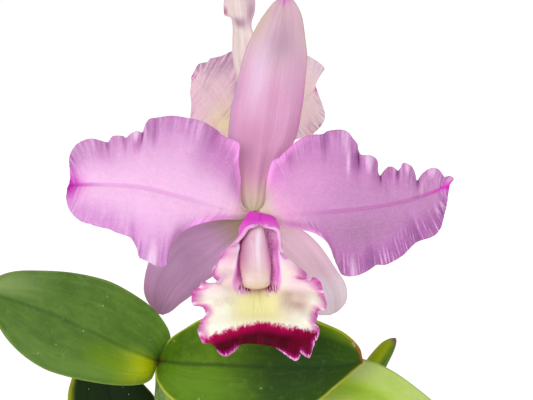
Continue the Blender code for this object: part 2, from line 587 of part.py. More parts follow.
def build_bark(finish):
    """Fill the pot with bark, with chips on top and room for the stems and roots."""
    rng = random.Random(BARK_SEED)
    floor = POT_FLOOR + GAP
    profile = ((0.0, BARK_LEVEL), (pot_inner_radius(BARK_LEVEL) - GAP, BARK_LEVEL),
               (pot_inner_radius(POT_FLOOR + 1.5) - GAP, POT_FLOOR + 1.5 + GAP),
               (pot_inner_radius(POT_FLOOR) - 1.0 - GAP, floor), (0.0, floor))
    bark = to_mesh(turned("bark_medium", finish, profile, POT_SIDES))
    bark = combine(bark, [bark_chip(index, rng) for index in range(BARK_CHIPS)], "UNION", "MANIFOLD")
    room = rhizome_parts(None, GAP + 0.1)
    feet = list(PSEUDOBULB_FEET.values()) + [SHOOT_PATH[0][:2]]
    for index, foot in enumerate(feet):
        room.append(cylinder(f"well_{index}", FOOT_WELL_RADIUS, RHIZOME_Z, POT_HEIGHT + POT_WALL, foot))
    return largest_body(combine(bark, room, "DIFFERENCE", "MANIFOLD"))


def build_pseudobulb(key, finish):
    """Make one swollen stem between the rhizome and the foot of its leaf."""
    foot = Vector((*PSEUDOBULB_FEET[key], RHIZOME_Z + RHIZOME_RADIUS + GAP + 0.1)) * MM
    apex = seen(*PSEUDOBULB_APEXES[key])
    girth = PSEUDOBULB_GIRTH[key]
    lean = (apex - foot).angle(Vector((0.0, 0.0, 1.0)))
    foot.z += girth * PSEUDOBULB_PROFILE[0][1] * math.sin(lean) * MM
    height = (apex - foot).length / MM
    profile = [(0.0, height)]
    profile += [(radius * girth, share * height) for share, radius in reversed(PSEUDOBULB_PROFILE)]
    profile.append((0.0, 0.0))
    bulb = turned("pseudobulb_" + key, finish, profile, 14)
    bulb.location = foot
    bulb.rotation_euler = (apex - foot).to_track_quat("Z", "Y").to_euler()
    return bulb


def build_stem(finish):
    """Make the flower stem with its two flower stalks as one body."""
    front = to_mesh(smooth_rod("flower_stem", finish, seen_all(STEM_PATH), STEM_RADII, 18))
    rear_stalk = to_mesh(smooth_rod("rear_stalk", finish, seen_all(REAR_STEM_PATH), REAR_STEM_RADII, 14))
    return combine(front, [rear_stalk], "UNION")


def build_flowers(paint):
    """Make the tepals, lips and columns of both flowers."""
    blade("front_dorsal_sepal", paint["sepal"], DORSAL_SEPAL, DORSAL_CELLS, TEPAL_THICKNESS)
    blade("front_left_lateral_sepal", paint["sepal"], LEFT_LATERAL_SEPAL, LATERAL_CELLS, TEPAL_THICKNESS)
    blade("front_right_lateral_sepal", paint["sepal"], RIGHT_LATERAL_SEPAL, LATERAL_CELLS, TEPAL_THICKNESS)
    blade("front_left_petal", paint["petal"], LEFT_PETAL, PETAL_CELLS, TEPAL_THICKNESS)
    blade("front_right_petal", paint["petal"], RIGHT_PETAL, PETAL_CELLS, TEPAL_THICKNESS)
    loft("front_lip", paint["lip"], LIP_STATIONS, LIP_CELLS, LIP_FRILL, TEPAL_THICKNESS)
    column("front_column", paint["column"])
    blade("rear_dorsal_sepal", paint["sepal"], REAR_DORSAL_SEPAL, REAR_DORSAL_CELLS, TEPAL_THICKNESS)
    blade("rear_left_lateral_sepal", paint["sepal"], REAR_LEFT_LATERAL_SEPAL, REAR_LATERAL_CELLS, TEPAL_THICKNESS)
    blade("rear_right_lateral_sepal", paint["sepal"], REAR_RIGHT_LATERAL_SEPAL, REAR_LATERAL_CELLS, TEPAL_THICKNESS)
    blade("rear_left_petal", paint["petal"], REAR_LEFT_PETAL, REAR_PETAL_CELLS, TEPAL_THICKNESS)
    blade("rear_right_petal", paint["petal"], REAR_RIGHT_PETAL, REAR_PETAL_CELLS, TEPAL_THICKNESS)
    loft("rear_lip", paint["lip"], LIP_STATIONS, REAR_LIP_CELLS, LIP_FRILL, TEPAL_THICKNESS, rear)
    column("rear_column", paint["column"], rear)


def build_leaves(paint):
    """Make the leaves, each on its pseudobulb."""
    blade("left_leaf", paint["leaf"], LEFT_LEAF, LONG_LEAF_CELLS, LEAF_THICKNESS)
    blade("centre_leaf", paint["leaf"], CENTRE_LEAF, LONG_LEAF_CELLS, LEAF_THICKNESS)
    blade("light_leaf", paint["light_leaf"], LIGHT_LEAF, LIGHT_LEAF_CELLS, LEAF_THICKNESS)
    blade("dark_leaf", paint["dark_leaf"], DARK_LEAF, DARK_LEAF_CELLS, LEAF_THICKNESS)


def build_shoot(finish):
    """Make the young shoot that grows from the end of the rhizome."""
    points = [(x * MM, y * MM, z * MM) for x, y, z in SHOOT_PATH]
    return to_mesh(smooth_rod("young_shoot", finish, points, SHOOT_RADII, 12))


def main():
    """Clear the scene and build the orchid."""
    for old in list(bpy.data.objects):
        bpy.data.objects.remove(old)
    bpy.context.scene.collection.children.link(bpy.data.collections.new(COLLECTION))
    paint = {
        "petal": material("petal", (0.72, 0.33, 0.62), 0.55),
        "sepal": material("sepal", (0.66, 0.35, 0.54), 0.55),
        "lip": material("lip", (0.87, 0.78, 0.55), 0.5),
        "column": material("column", (0.84, 0.60, 0.68), 0.45),
        "leaf": material("leaf", (0.10, 0.21, 0.03), 0.4),
        "light_leaf": material("light_leaf", (0.48, 0.60, 0.20), 0.4),
        "dark_leaf": material("dark_leaf", (0.02, 0.05, 0.01), 0.4),
        "stem": material("stem", (0.22, 0.34, 0.09), 0.5),
        "rhizome": material("rhizome", (0.30, 0.26, 0.12), 0.7),
        "bark": material("bark", (0.20, 0.10, 0.05), 0.9),
        "pot": material("pot", (0.52, 0.20, 0.10), 0.85),
    }
    build_pot(paint["pot"])
    build_bark(paint["bark"])
    build_rhizome(paint["rhizome"])
    for key in PSEUDOBULB_FEET:
        build_pseudobulb(key, paint["stem"])
    build_shoot(paint["stem"])
    build_stem(paint["stem"])
    build_leaves(paint)
    build_flowers(paint)


main()
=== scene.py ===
"""A cattleya orchid in flower, in a clay pot of bark, dressed for a close look.

Petals, lip, leaves and stems are set out in millimetres in the open flower's
own plane (x right, y up, z towards the viewer) or in the pot's upright axes,
and become metres when each mesh is made.
"""

import math
import random

import bmesh
import bpy
import numpy as np
from mathutils import Matrix, Vector


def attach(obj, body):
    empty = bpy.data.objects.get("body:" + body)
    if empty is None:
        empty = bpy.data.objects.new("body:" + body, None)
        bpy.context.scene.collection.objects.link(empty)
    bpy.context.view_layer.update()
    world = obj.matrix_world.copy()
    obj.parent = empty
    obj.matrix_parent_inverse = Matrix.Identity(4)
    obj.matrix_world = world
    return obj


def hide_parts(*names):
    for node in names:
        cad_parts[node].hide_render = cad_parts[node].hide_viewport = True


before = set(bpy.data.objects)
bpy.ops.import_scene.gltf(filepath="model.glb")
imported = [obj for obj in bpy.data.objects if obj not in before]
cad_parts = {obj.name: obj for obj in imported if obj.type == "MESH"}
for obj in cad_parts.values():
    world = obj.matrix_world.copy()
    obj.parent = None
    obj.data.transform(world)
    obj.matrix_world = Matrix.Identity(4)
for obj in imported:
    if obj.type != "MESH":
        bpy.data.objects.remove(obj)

bl_info = {
    "name": "Cattleya orchid",
    "version": (1, 0, 0),
    "blender": (4, 5, 0),
    "location": "3D View > Sidebar > Orchid",
    "description": "Builds a cattleya orchid in flower, in a pot of bark",
    "category": "Object",
}

MM = 0.001

# The open flower's plane, and the viewer who looks down at it.
VIEW_TILT = math.radians(25.0)
VIEW_DISTANCE = 520.0
VIEW_CENTRE = np.array((6.0, 4.7))
VIEW_WIDTH = 193.8
SENSOR_WIDTH = 36.0
FLOWER_AT = np.array((-6.0, -5.0, 252.0))
FLOWER_X = np.array((1.0, 0.0, 0.0))
FLOWER_Y = np.array((0.0, math.sin(VIEW_TILT), math.cos(VIEW_TILT)))
FLOWER_Z = np.array((0.0, -math.cos(VIEW_TILT), math.sin(VIEW_TILT)))

# Pot and bark.
POT_HEIGHT = 105.0
POT_BASE_RADIUS = 40.0
POT_TOP_RADIUS = 55.0
POT_RIM_RADIUS = 60.0
POT_RIM_HEIGHT = 20.0
POT_WALL = 4.0
POT_FLOOR = 5.0
DRAIN_HOLE_RADIUS = 4.0
DRAIN_HOLE_RING = 22.0
DRAIN_HOLES = 4
# How far the pot's mouth and its collar are rounded.
POT_MOUTH_ROUND = 1.4
POT_RIM_ROUND = 2.0
POT_SIDES = 144
BARK_LEVEL = 95.0
BARK_RING = 41.0
BARK_SIDES = 96
BARK_SEED = 4
# A chip's three sides as shares of its length, how far it turns, and its least and greatest size.
CHIP_SHAPE = (1.0, 0.62, 0.3)
CHIP_TURNS = ((-0.42, -0.42, 0.0), (0.42, 0.42, 6.283))
CHIP_GROWTH = ((0.55, 0.6, 0.5), (1.25, 1.2, 1.1))
CHIP_DENSITY = 90000.0

# Rhizome, roots, pseudobulbs and the young shoot, in pot coordinates.
RHIZOME_RADIUS = 4.5
RHIZOME_Z = 96.0
RHIZOME_PATH = ((-42, 20), (-34, 19), (-21, 11), (-9, 6), (1, 5), (14, 9), (25, 17), (32, 24))
ROOT_RADIUS = 1.5
ROOT_PATHS = (
    ((-30, 16), (-31, 2), (-25, -14), (-22, -30), (-24, -41)),
    ((-15, 8), (-10, -8), (-1, -20), (4, -34), (6, -43)),
    ((8, 7), (20, -2), (30, -14), (38, -24)),
    ((-24, 13), (-20, 28), (-12, 40)),
    ((18, 12), (14, 28), (19, 42)),
)
# Share of a root's length and its height there.
ROOT_HEIGHTS = ((0, 96.0), (0.25, 98.6), (0.75, 98.0), (1, 93.0))
PSEUDOBULB_FEET = {"a": (-21, 11), "b": (1, 5), "c": (-34, 19)}
PSEUDOBULB_APEXES = {"a": (-31.2, -56.4, -35), "b": (5.5, -67.5, -35), "c": (-46, -95, -58)}
PSEUDOBULB_GIRTH = {"a": 10.5, "b": 11.5, "c": 7.5}
PSEUDOBULB_PROFILE = ((0, 0.34), (0.06, 0.44), (0.2, 0.62), (0.4, 0.93), (0.6, 1.0), (0.8, 0.82),
                      (0.93, 0.5), (1.0, 0.36))
SHOOT_PATH = ((32, 24, 101.2), (33, 24, 118), (37, 25, 145), (43, 26, 165), (48.5, 26, 176),
              (52.2, 26, 181))
SHOOT_PROFILE = ((0, 3.5), (0.2, 5.5), (0.45, 6.2), (0.7, 5.2), (0.86, 4.1), (0.93, 3.3), (0.965, 2.4),
                 (0.987, 1.4), (1.0, 0.4))

# The flower's hubs, and the rear flower's own axes.
HUB = np.array((2.5, -0.5, -4.8))
REAR_HUB = np.array((2.5, 26.0, -50.0))
REAR_FACING = Vector((0.35, 0.3, -0.88)).normalized()
REAR_ACROSS = Vector((-0.1, 0.95, 0.29)).cross(REAR_FACING).normalized()
REAR_UP = REAR_FACING.cross(REAR_ACROSS)
REAR_SIZE = 0.9

# Tepals and leaves from base to tip. Left and right are as the viewer sees them
# when looking from the base to the tip. A ruffle is height, waves and phase.
LEFT_PETAL = {
    "midrib": ((1.2, 0.1, -4.3), (-1.6, -0.2, -4.0), (-5, 0.4, -3), (-12, 2, 0), (-24, 5.5, 3),
               (-40, 9.3, 3), (-55, 10.3, 0), (-66, 10, -4)),
    "right": ((1.2, 0.8), (-1.6, 0.9), (-2.9, 2.2), (-3.5, 4.5), (-3.7, 8), (-3.5, 12.5), (-4.3, 18),
              (-4, 22), (-3.7, 25), (-5, 26.2), (-8, 27.3), (-10, 28.3), (-12, 30), (-15, 32), (-18, 33.5),
              (-22.5, 34.5), (-28, 35.3), (-34, 34.6), (-36.5, 34.2), (-38, 32), (-39, 29.3), (-41, 29.8),
              (-43, 29), (-45, 27.3), (-46.5, 28), (-50, 27.8), (-51.5, 25.7), (-53.5, 26), (-57, 27),
              (-60, 26.6), (-63, 25), (-64.8, 22.5), (-65.7, 20), (-65.6, 17), (-65.2, 13), (-65.6, 10.6)),
    "left": ((1.2, -0.7), (-1.6, -1.6), (-3.8, -2.2), (-10, -2.3), (-14, -2.8), (-18, -3.8), (-22, -5.2),
             (-25, -7), (-27, -9.5), (-28.5, -12), (-29.6, -15), (-30, -18), (-31, -19.5), (-33, -19.7),
             (-36, -18.3), (-38.5, -17), (-40.3, -16), (-40.8, -13.5), (-42, -11), (-43.5, -9), (-46, -8),
             (-49, -7), (-51, -6), (-56, -4.8), (-58, -4), (-61, -3.2), (-64, -1), (-65.8, 1.5),
             (-66.7, 4.5), (-66.5, 8.8)),
    "cup_right": -1.6, "cup_left": -4.0,
    "ruffle_right": (3.0, 5.0, 0.1), "ruffle_left": (3.0, 4.0, 0.4),
}
RIGHT_PETAL = {
    "midrib": ((3.6, 0.4, -4.2), (6.5, 0.0, -3.8), (10, -0.4, -3), (18, -0.4, 0), (30, 0.4, 3), (44, 2, 3),
               (58, 4.7, 0), (72.5, 10, -4)),
    "left": ((3.6, 1.2), (5.2, 2.4), (5.8, 5), (5.9, 8), (6.3, 12), (7, 15.5), (8.3, 19), (10.5, 20),
             (12, 21.5), (15, 24.3), (17, 26), (20, 27.8), (23, 28.5), (26.5, 28.7), (28, 29.7), (31, 30.2),
             (34, 30.1), (36, 29), (37.5, 27), (38.8, 25.3), (39.2, 23), (40.2, 21.2), (43.5, 21),
             (45.5, 20), (46.4, 18), (46.3, 15), (47.2, 13.4), (49, 15.5), (50.5, 16.8), (52.2, 16.6),
             (54, 15.3), (55.8, 18.2), (57.4, 17.8), (59, 16.5), (60, 13.8), (60.5, 11.4), (63, 14.5),
             (65.5, 16.2), (67.5, 16.3), (69, 15.5), (70.6, 13.2), (72.6, 13.4), (74, 12.6), (73, 10.8)),
    "right": ((3.6, -0.5), (6.2, -1.6), (8.6, -2.7), (10.6, -3.9), (14, -5), (20, -6.2), (24, -7.5),
              (27.5, -10), (29.5, -13), (30.5, -16), (32, -19.5), (33.5, -22.3), (35.5, -23), (38, -23),
              (41, -22), (44, -20.2), (46, -18.8), (49, -18.8), (52, -17.6), (55.5, -15.5), (58, -13),
              (60, -11), (62, -10), (66, -8.7), (67.8, -7.5), (69.5, -5), (70.5, -1), (71.5, 3), (72, 7.8)),
    "cup_left": -2.5, "cup_right": -4.0,
    "ruffle_left": (3.0, 5.0, 0.6), "ruffle_right": (3.0, 4.5, 0.1),
}
# Folds of the petals' edges: x and y on the edge, width along it, height and reach from it.
LEFT_PETAL_FOLDS = (
    (-38.7, 29.5, 1.4, -2.6, 5.0), (-45.0, 27.3, 1.5, -2.4, 5.0), (-41.5, 29.8, 1.5, 1.6, 4.0),
    (-51.6, 25.6, 1.2, -1.8, 4.0), (-28.6, 35.3, 1.6, -1.4, 8.0), (-24.0, 34.6, 1.3, -1.0, 8.0),
    (-12.0, 30.0, 3.5, -1.4, 9.0), (-40.4, -16.0, 1.6, -2.4, 7.0), (-35.5, -18.5, 2.6, 1.8, 8.0),
)
RIGHT_PETAL_FOLDS = (
    (39.0, 23.0, 1.6, -3.2, 7.0), (35.0, 29.5, 2.4, 1.8, 9.0), (46.9, 13.6, 1.3, -2.6, 5.0),
    (43.5, 21.0, 2.0, 1.6, 5.0), (54.0, 15.3, 1.2, -1.8, 4.0), (60.4, 11.4, 1.2, -2.4, 4.0),
    (57.0, 18.0, 1.4, 1.2, 4.0), (66.0, 16.3, 2.0, 1.4, 4.0), (27.5, 29.0, 1.4, -1.4, 9.0),
    (14.0, 23.5, 1.4, -1.0, 8.0), (45.0, -19.5, 1.6, -1.4, 8.0), (62.0, -10.0, 1.6, -1.2, 7.0),
    (38.0, -23.0, 1.6, 1.2, 8.0),
)
DORSAL_SEPAL = {
    "midrib": ((1.3, 0.6, -4.9), (1.9, 3.4, -5.8), (2.5, 10, -7.2), (4, 24, -7), (6.5, 42, -7),
               (9.5, 60, -9), (13, 79.5, -14)),
    "left": ((-0.4, 0.6), (-1.1, 1.5), (-2.3, 2.6), (-3.5, 5.2), (-3.9, 8.4), (-6.5, 16), (-7.8, 27),
             (-7.2, 35), (-6.4, 40), (-5.2, 44), (-3.5, 52), (-1.5, 59.5), (0.2, 63.2), (2, 67), (4, 70.5),
             (6.5, 74), (8.5, 76.5), (10.3, 77.8), (12, 79.2)),
    "right": ((3.0, 0.6), (3.8, 1.5), (5.2, 2.6), (6.1, 5.2), (6.6, 9), (11, 18), (16, 26), (17.6, 31),
              (18.3, 35), (19.3, 41), (20, 48), (20.8, 57), (20.5, 60), (20, 64), (19.5, 68), (18.7, 72),
              (17.2, 75.4), (15.7, 77.5), (14, 79.2)),
    "cup_left": -3.0, "cup_right": -3.0,
}
LEFT_LATERAL_SEPAL = {
    "midrib": ((-0.1, -3.1, -8.8), (-9, -9.5, -13), (-20, -17.5, -24), (-28.5, -26, -34),
               (-33.2, -36.6, -40)),
    "right": ((-1.8, -1.4), (-12, -2.5), (-23, -5), (-31, -10), (-36, -16), (-37.8, -21), (-38.6, -26),
              (-38.4, -29.5), (-37, -32.6), (-34.4, -36)),
    "left": ((1.5, -4.9), (-2.5, -11), (-7, -17), (-12.5, -22.3), (-17, -25.3), (-21, -29.7), (-25, -32.7),
             (-29, -36), (-31.6, -37)),
    "cup_left": -1.5, "cup_right": 2.0,
}
RIGHT_LATERAL_SEPAL = {
    "midrib": ((5.1, -3.1, -8.8), (11, -9.5, -13), (19, -18, -24), (26, -27, -34), (30.2, -36.5, -40)),
    "left": ((6.8, -1.4), (10, -3), (18.5, -6), (25, -11.5), (32, -21.5), (34.3, -25), (35.3, -28.5),
             (35, -32), (33.4, -34.4), (31.4, -36)),
    "right": ((3.5, -4.9), (6, -12), (10, -20), (15, -28), (20, -34), (25, -37), (29, -37)),
    "cup_left": 2.0, "cup_right": -1.5,
}
REAR_LEFT_PETAL = {
    "midrib": ((-1.5, 26.6, -49.5), (-6, 31, -52), (-12, 38.5, -58), (-17, 46, -66), (-20.7, 50.3, -72)),
    "right": ((-1.5, 29), (-1, 38), (-0.5, 47), (-0.5, 54), (-1.8, 59.3), (-4.6, 59.3), (-7.6, 58.4),
              (-9.4, 57.4), (-12, 56.6), (-14.4, 56), (-15.4, 54.8), (-18.5, 54.2), (-20.3, 51)),
    "left": ((-1.5, 24.4), (-8, 25), (-15, 28), (-21.7, 32), (-21.5, 36), (-21.2, 40), (-21.6, 43.5),
             (-21.4, 46), (-21.2, 49.5)),
    "cup_left": -3.0, "cup_right": -3.0,
    "ruffle_left": (2.0, 3.0, 0.2), "ruffle_right": (2.0, 3.5, 0.5),
}
REAR_RIGHT_PETAL = {
    "midrib": ((6.6, 27.3, -49.8), (11, 31, -52.5), (17, 38.5, -60), (21.5, 43.5, -68), (24, 45.2, -73)),
    "left": ((6.4, 29.3), (9, 40), (13, 50), (17, 56), (20, 57.2), (23, 56), (27, 52.7), (25, 50.4),
             (23.8, 48.6), (23.6, 46.2)),
    "right": ((6.9, 25.4), (11.5, 25.8), (16, 26.6), (20, 27.6), (22.5, 28.5), (25.3, 31), (27, 34),
              (27, 36.6), (26.2, 39.4), (24.4, 44)),
    "cup_left": -3.0, "cup_right": -3.0,
    "ruffle_left": (2.0, 3.5, 0.2), "ruffle_right": (2.0, 3.0, 0.5),
}
REAR_DORSAL_SEPAL = {
    "midrib": ((1.4, 28.9, -47), (0.5, 40, -45), (-1.5, 56, -44), (-3, 70, -45), (-4, 84.5, -50)),
    "left": ((-0.8, 28.9), (-3, 40), (-6, 55), (-6.4, 62), (-6.2, 66), (-6.5, 70), (-7.2, 71.4),
             (-9.2, 71.9), (-9.5, 73), (-9.2, 78), (-5.2, 84.3)),
    "right": ((3.6, 28.9), (4.5, 42), (4, 55), (2, 63), (0.4, 68.5), (1.7, 73.6), (1.4, 79), (-2.8, 84.3)),
    "cup_left": 2.0, "cup_right": 2.0,
}
REAR_LEFT_LATERAL_SEPAL = {
    "midrib": ((-1.2, 22.4, -47.5), (-7, 16, -48), (-14, 9, -50), (-20, 1, -52)),
    "right": ((-2.7, 24), (-10, 20), (-17.5, 12), (-20.8, 1.8)),
    "left": ((0.3, 20.9), (-3, 12), (-10, 4), (-19, 0.6)),
    "cup_left": 1.5, "cup_right": 1.5,
}
REAR_RIGHT_LATERAL_SEPAL = {
    "midrib": ((4.1, 22.8, -48.5), (10.5, 16, -49.5), (18, 8.5, -52), (24, 1, -55)),
    "left": ((5.6, 24.3), (13.5, 20), (21, 12), (24.8, 1.8)),
    "right": ((2.6, 21.3), (6, 12), (13.5, 4), (23, 0.6)),
    "cup_left": 1.5, "cup_right": 1.5,
}
LEFT_LEAF = {
    "midrib": ((-33.4, -53.8, -33.5), (-36.5, -52.6, -28.5), (-40, -51.2, -25), (-47, -48.4, -23.5),
               (-57, -43.5, -23), (-74.5, -36, -24), (-96, -28.5, -30)),
    "right": ((-33.2, -52.6), (-31.2, -49.4), (-29.2, -46.2), (-28.9, -44.6), (-30.5, -40.8), (-35, -35),
              (-42, -29.8), (-50, -25.4), (-57, -23.2), (-66, -21.6), (-76, -21), (-86, -21.3),
              (-93, -23.8), (-96, -27.6)),
    "left": ((-33.6, -55.0), (-34.8, -58), (-36, -60.6), (-39, -62.2), (-47, -62.7), (-57, -61.5),
             (-66, -59.6), (-75, -56.6), (-84, -50.5), (-91, -42), (-95.8, -29.6)),
    "cup_left": 2.5, "cup_right": 3.0,
}
CENTRE_LEAF = {
    "midrib": ((-33.2, -53.9, -33.5), (-29.5, -54.2, -28), (-24, -54.8, -20), (-10, -55.3, -11),
               (2, -56, -7), (14, -56.3, -5), (30, -56, -5), (41, -54.4, -7)),
    "left": ((-33.4, -52.6), (-31.6, -49.4), (-29.8, -46.6), (-27.6, -44.6), (-24, -42.3), (-18, -38.7),
             (-8, -35.5), (6, -34.5), (18, -36.8), (28, -40.5), (35, -44), (39.8, -49), (41, -53.4)),
    "right": ((-33.6, -55.3), (-34.5, -58.4), (-33.4, -61.8), (-31.4, -65), (-28.4, -68), (-20, -73.3),
              (-6, -76.5), (10, -75.5),
              (22, -70.5), (32, -62.7), (37.2, -58), (40.6, -55.2)),
    "cup_left": 2.0, "cup_right": 3.0,
}
LIGHT_LEAF = {
    "midrib": ((7.2, -65.3, -34.5), (12, -63, -30), (22, -62.5, -26), (35, -64, -22), (50, -69, -20),
               (65, -78, -22), (80, -92, -27)),
    "left": ((7, -63.6), (14, -56), (24, -52.5), (34, -52.2), (44, -53.9), (52, -57.6), (61, -64),
             (68, -70), (76, -79), (80.5, -90.5)),
    "right": ((7.3, -67.2), (12, -70), (20, -74.5), (33, -79), (47, -84.5), (60, -90.5), (70, -94.5),
              (79.2, -93.2)),
    "cup_left": -2.0, "cup_right": 2.5,
}
SHADED_LEAF = {
    "midrib": ((-46.5, -92.8, -57.5), (-48, -84, -57.5), (-50, -72, -56), (-53, -58, -52), (-56, -44, -46)),
    "left": ((-48.2, -92.8), (-57, -86), (-64.5, -77), (-66.2, -67), (-64.3, -59), (-61, -51),
             (-57, -44.6)),
    "right": ((-44.7, -92.8), (-36, -86), (-32.5, -76), (-34.4, -67.5), (-39.8, -61), (-46.5, -53),
              (-55, -44.6)),
    "cup_left": 2.0, "cup_right": -2.0,
}

# The lip's tube: centre, half widths, half depth and the angles that it wraps, left and right.
LIP_TUBE = (
    ((3.9, -1.4, -1.6), (4.5, 5.2), 2.6, (183, 183)),
    ((3.5, -5.9, 0.4), (7.0, 7.1), 4.0, (180, 180)),
    ((3.6, -7.3, 1.2), (7.3, 7.1), 4.4, (152, 126)),
    ((3.75, -10.1, 3.2), (8.0, 7.2), 5.0, (126, 100)),
)
HOOD_SQUARE = 0.8
HOOD_SLOPE = (0.2, 0.06, 0.0, 0.0)
# The lip's open sections, in order towards the free edge, each from left to right.
LIP_STATIONS = (
    ((-9.5, -15.2, 9.4), (-7.2, -13.4, 10), (-4.3, -13, 8.8), (-4.5, -15.5, 6.2), (2.8, -18, 1.5),
     (9.6, -16, 6.2), (10.6, -14, 9), (11.6, -15.5, 10.5), (13.2, -17.4, 10)),
    ((-13.6, -21.4, 11), (-10.5, -18, 12.5), (-5.3, -17.5, 11.2), (-5.4, -20.5, 8.2), (2.5, -24, 4.0),
     (10.4, -21, 8.4), (11.4, -18.5, 11.5), (15.5, -18.8, 12.5), (20, -22, 11)),
    ((-11.4, -25.8, 15), (-9.5, -23.5, 15.5), (-6.5, -23, 13.2), (-5.0, -26, 10.6), (2.8, -28.5, 8.0),
     (9.9, -26.5, 10.6), (11.4, -24, 13.5), (16.5, -24.5, 15.5), (20.6, -25.6, 15)),
    ((-20.8, -30.5, 15), (-15, -28.5, 17), (-9, -29, 17), (-3, -30.5, 15), (3.3, -31.5, 14), (9, -31, 15),
     (15, -29.5, 17), (21.5, -28.5, 17.5), (27, -31.5, 16)),
    ((-17.2, -36.8, 18), (-13, -35, 20.5), (-8, -35, 21), (-2.5, -35.8, 20), (3.5, -36.3, 19.5),
     (9.5, -36, 20), (16, -35.5, 21), (21.5, -35, 20.5), (25.5, -36.5, 18.5)),
    ((-19, -43, 21), (-14, -41.5, 24), (-8.5, -40.5, 25.5), (-2.5, -40, 26), (3.5, -39.8, 26),
     (9.5, -40.3, 26), (15.5, -41, 25.5), (20.5, -42, 24), (24.8, -43, 21)),
    ((-17, -46.8, 22), (-13, -46.2, 25), (-8.5, -45.8, 27), (-2.5, -44.5, 27.5), (3.5, -44, 27.5),
     (9.5, -45, 27.5), (15, -46.5, 27), (20, -47.5, 25), (24, -46.5, 22)),
    ((-14.5, -48.5, 21), (-12, -51, 23.5), (-8.8, -52, 25.5), (-3.5, -48.3, 24.5), (3.5, -47.6, 24),
     (9.5, -48.8, 25), (16, -53.5, 26), (20.8, -52, 24), (23, -49.3, 21.5)),
)
# The lip's free edges with their scallops: section number, x and y.
LIP_LEFT_EDGE = (
    (3.75, -6.0, -12.2), (3.9, -8.2, -12.9), (4.03, -9.8, -14.2), (4.2, -10.7, -16.0), (4.4, -11.0, -17.4),
    (4.55, -10.7, -18.3), (4.72, -12.3, -19.0), (5.0, -13.5, -20.5), (5.2, -13.7, -21.8),
    (5.45, -13.2, -23.4), (5.7, -11.6, -25), (5.95, -10.8, -25.4), (6.15, -12.4, -25.6),
    (6.3, -13.8, -26.4), (6.42, -14.6, -27.6), (6.52, -15.5, -26.3), (6.62, -16.5, -24.8),
    (6.74, -18, -25.5), (6.84, -18.1, -26.8), (6.92, -19.5, -27.2), (7.05, -20.8, -28.5),
    (7.25, -21.3, -31), (7.5, -20.8, -33.4), (7.7, -18.2, -33.8), (7.88, -16.8, -34.8), (8.15, -16.2, -37),
    (8.55, -18.2, -40), (8.75, -18.3, -41.3), (9.0, -19.1, -42.8), (9.3, -18.6, -44.3), (9.7, -18, -45.8),
    (10.1, -17, -47.3), (10.4, -16, -46.5), (10.7, -14.9, -46.2), (11.0, -13.6, -47.6),
)
LIP_RIGHT_EDGE = (
    (4.0, 13.2, -17.4), (4.3, 14.2, -19.0), (4.6, 16.4, -19.6), (4.8, 18.8, -20.4), (5.0, 20.3, -22),
    (5.35, 20.5, -23.8), (5.7, 19.6, -26.0), (5.95, 21.4, -25.0), (6.2, 22.9, -23.4), (6.42, 24.4, -23.9),
    (6.6, 25.8, -25.6), (6.8, 26.6, -28.5), (7.0, 27.4, -31.5), (7.3, 27.8, -34), (7.5, 26.8, -35.3),
    (7.7, 24.8, -35.5), (8.0, 24.6, -37.5), (8.35, 24, -39.3), (8.6, 23.7, -40.7), (8.8, 24.9, -41.2),
    (9.0, 25.3, -42.5), (9.35, 25, -44.6), (9.6, 24.2, -46.1), (9.8, 23.4, -46.4), (10.2, 23.3, -48),
    (10.6, 22.6, -49.3), (11.0, 22.2, -51),
)
LIP_FRONT_EDGE = ((-13.6, -47.6), (-12.3, -49), (-11.6, -50.4), (-10.4, -51.6), (-9, -52.2), (-7.5, -51.7),
                  (-5.5, -50.3), (-4, -48.6), (-2.5, -47.6), (2, -47.6), (6, -48.1), (9, -48.9),
                  (12.5, -51.2), (15, -53), (16.8, -53.8), (18.1, -52), (17.7, -50.4), (19.2, -51.4),
                  (20.6, -52.4), (21.6, -52.6), (22.2, -51))
# The slow frill's height and waves, and how far right the lip's middle lies.
LIP_FRILL = (1.2, 9.0)
LIP_MIDDLE = 3.0
# Where the maroon starts on the lip, and the outline of its open throat.
MAROON_START = ((-20, -46.5), (-15.5, -45), (-13, -44.6), (-8, -43), (-5, -42), (-1, -41), (3, -40.2),
                (7, -40.5), (11, -41.4), (15, -41.9), (20, -43), (25, -43.6))
THROAT_LEFT = ((0.5, -3.0), (-1.6, -5.4), (-3.6, -9), (-4.2, -13), (-5.2, -17.5), (-6.0, -21),
               (-6.8, -24.5), (-6.4, -27.5), (-5.2, -29.5), (-4.0, -31.5))
THROAT_RIGHT = ((5.0, -3.0), (9.8, -4.6), (10.7, -8), (10.8, -13), (11.3, -18.5), (11.6, -21),
                (11.8, -24.5), (11.4, -27.5), (10.6, -29.5), (9.4, -31.5))

COLUMN_LINE = ((2.8, -0.8, -4.8), (2.1, -6.8, 0.8), (1.65, -13, 4.6), (1.9, -18.5, 7.8), (2.2, -22.6, 10.2),
               (2.4, -27.1, 12.3))
COLUMN_HALF_WIDTHS = (2.0, 2.3, 3.6, 4.9, 5.8, 6.0, 5.5, 4.7)
COLUMN_HALF_DEPTHS = (1.6, 1.9, 2.2, 2.6, 3.0, 3.1, 2.9, 2.3)
COLUMN_OUTWARD = np.array((0.0, 0.5, 0.87))
CAP_LINE = ((2.2, -22.2, 9.8), (2.4, -27.5, 12.4))
CAP_HALF_WIDTHS = (4.6, 5.1, 4.6)
CAP_HALF_DEPTHS = (2.0, 2.75, 2.5)

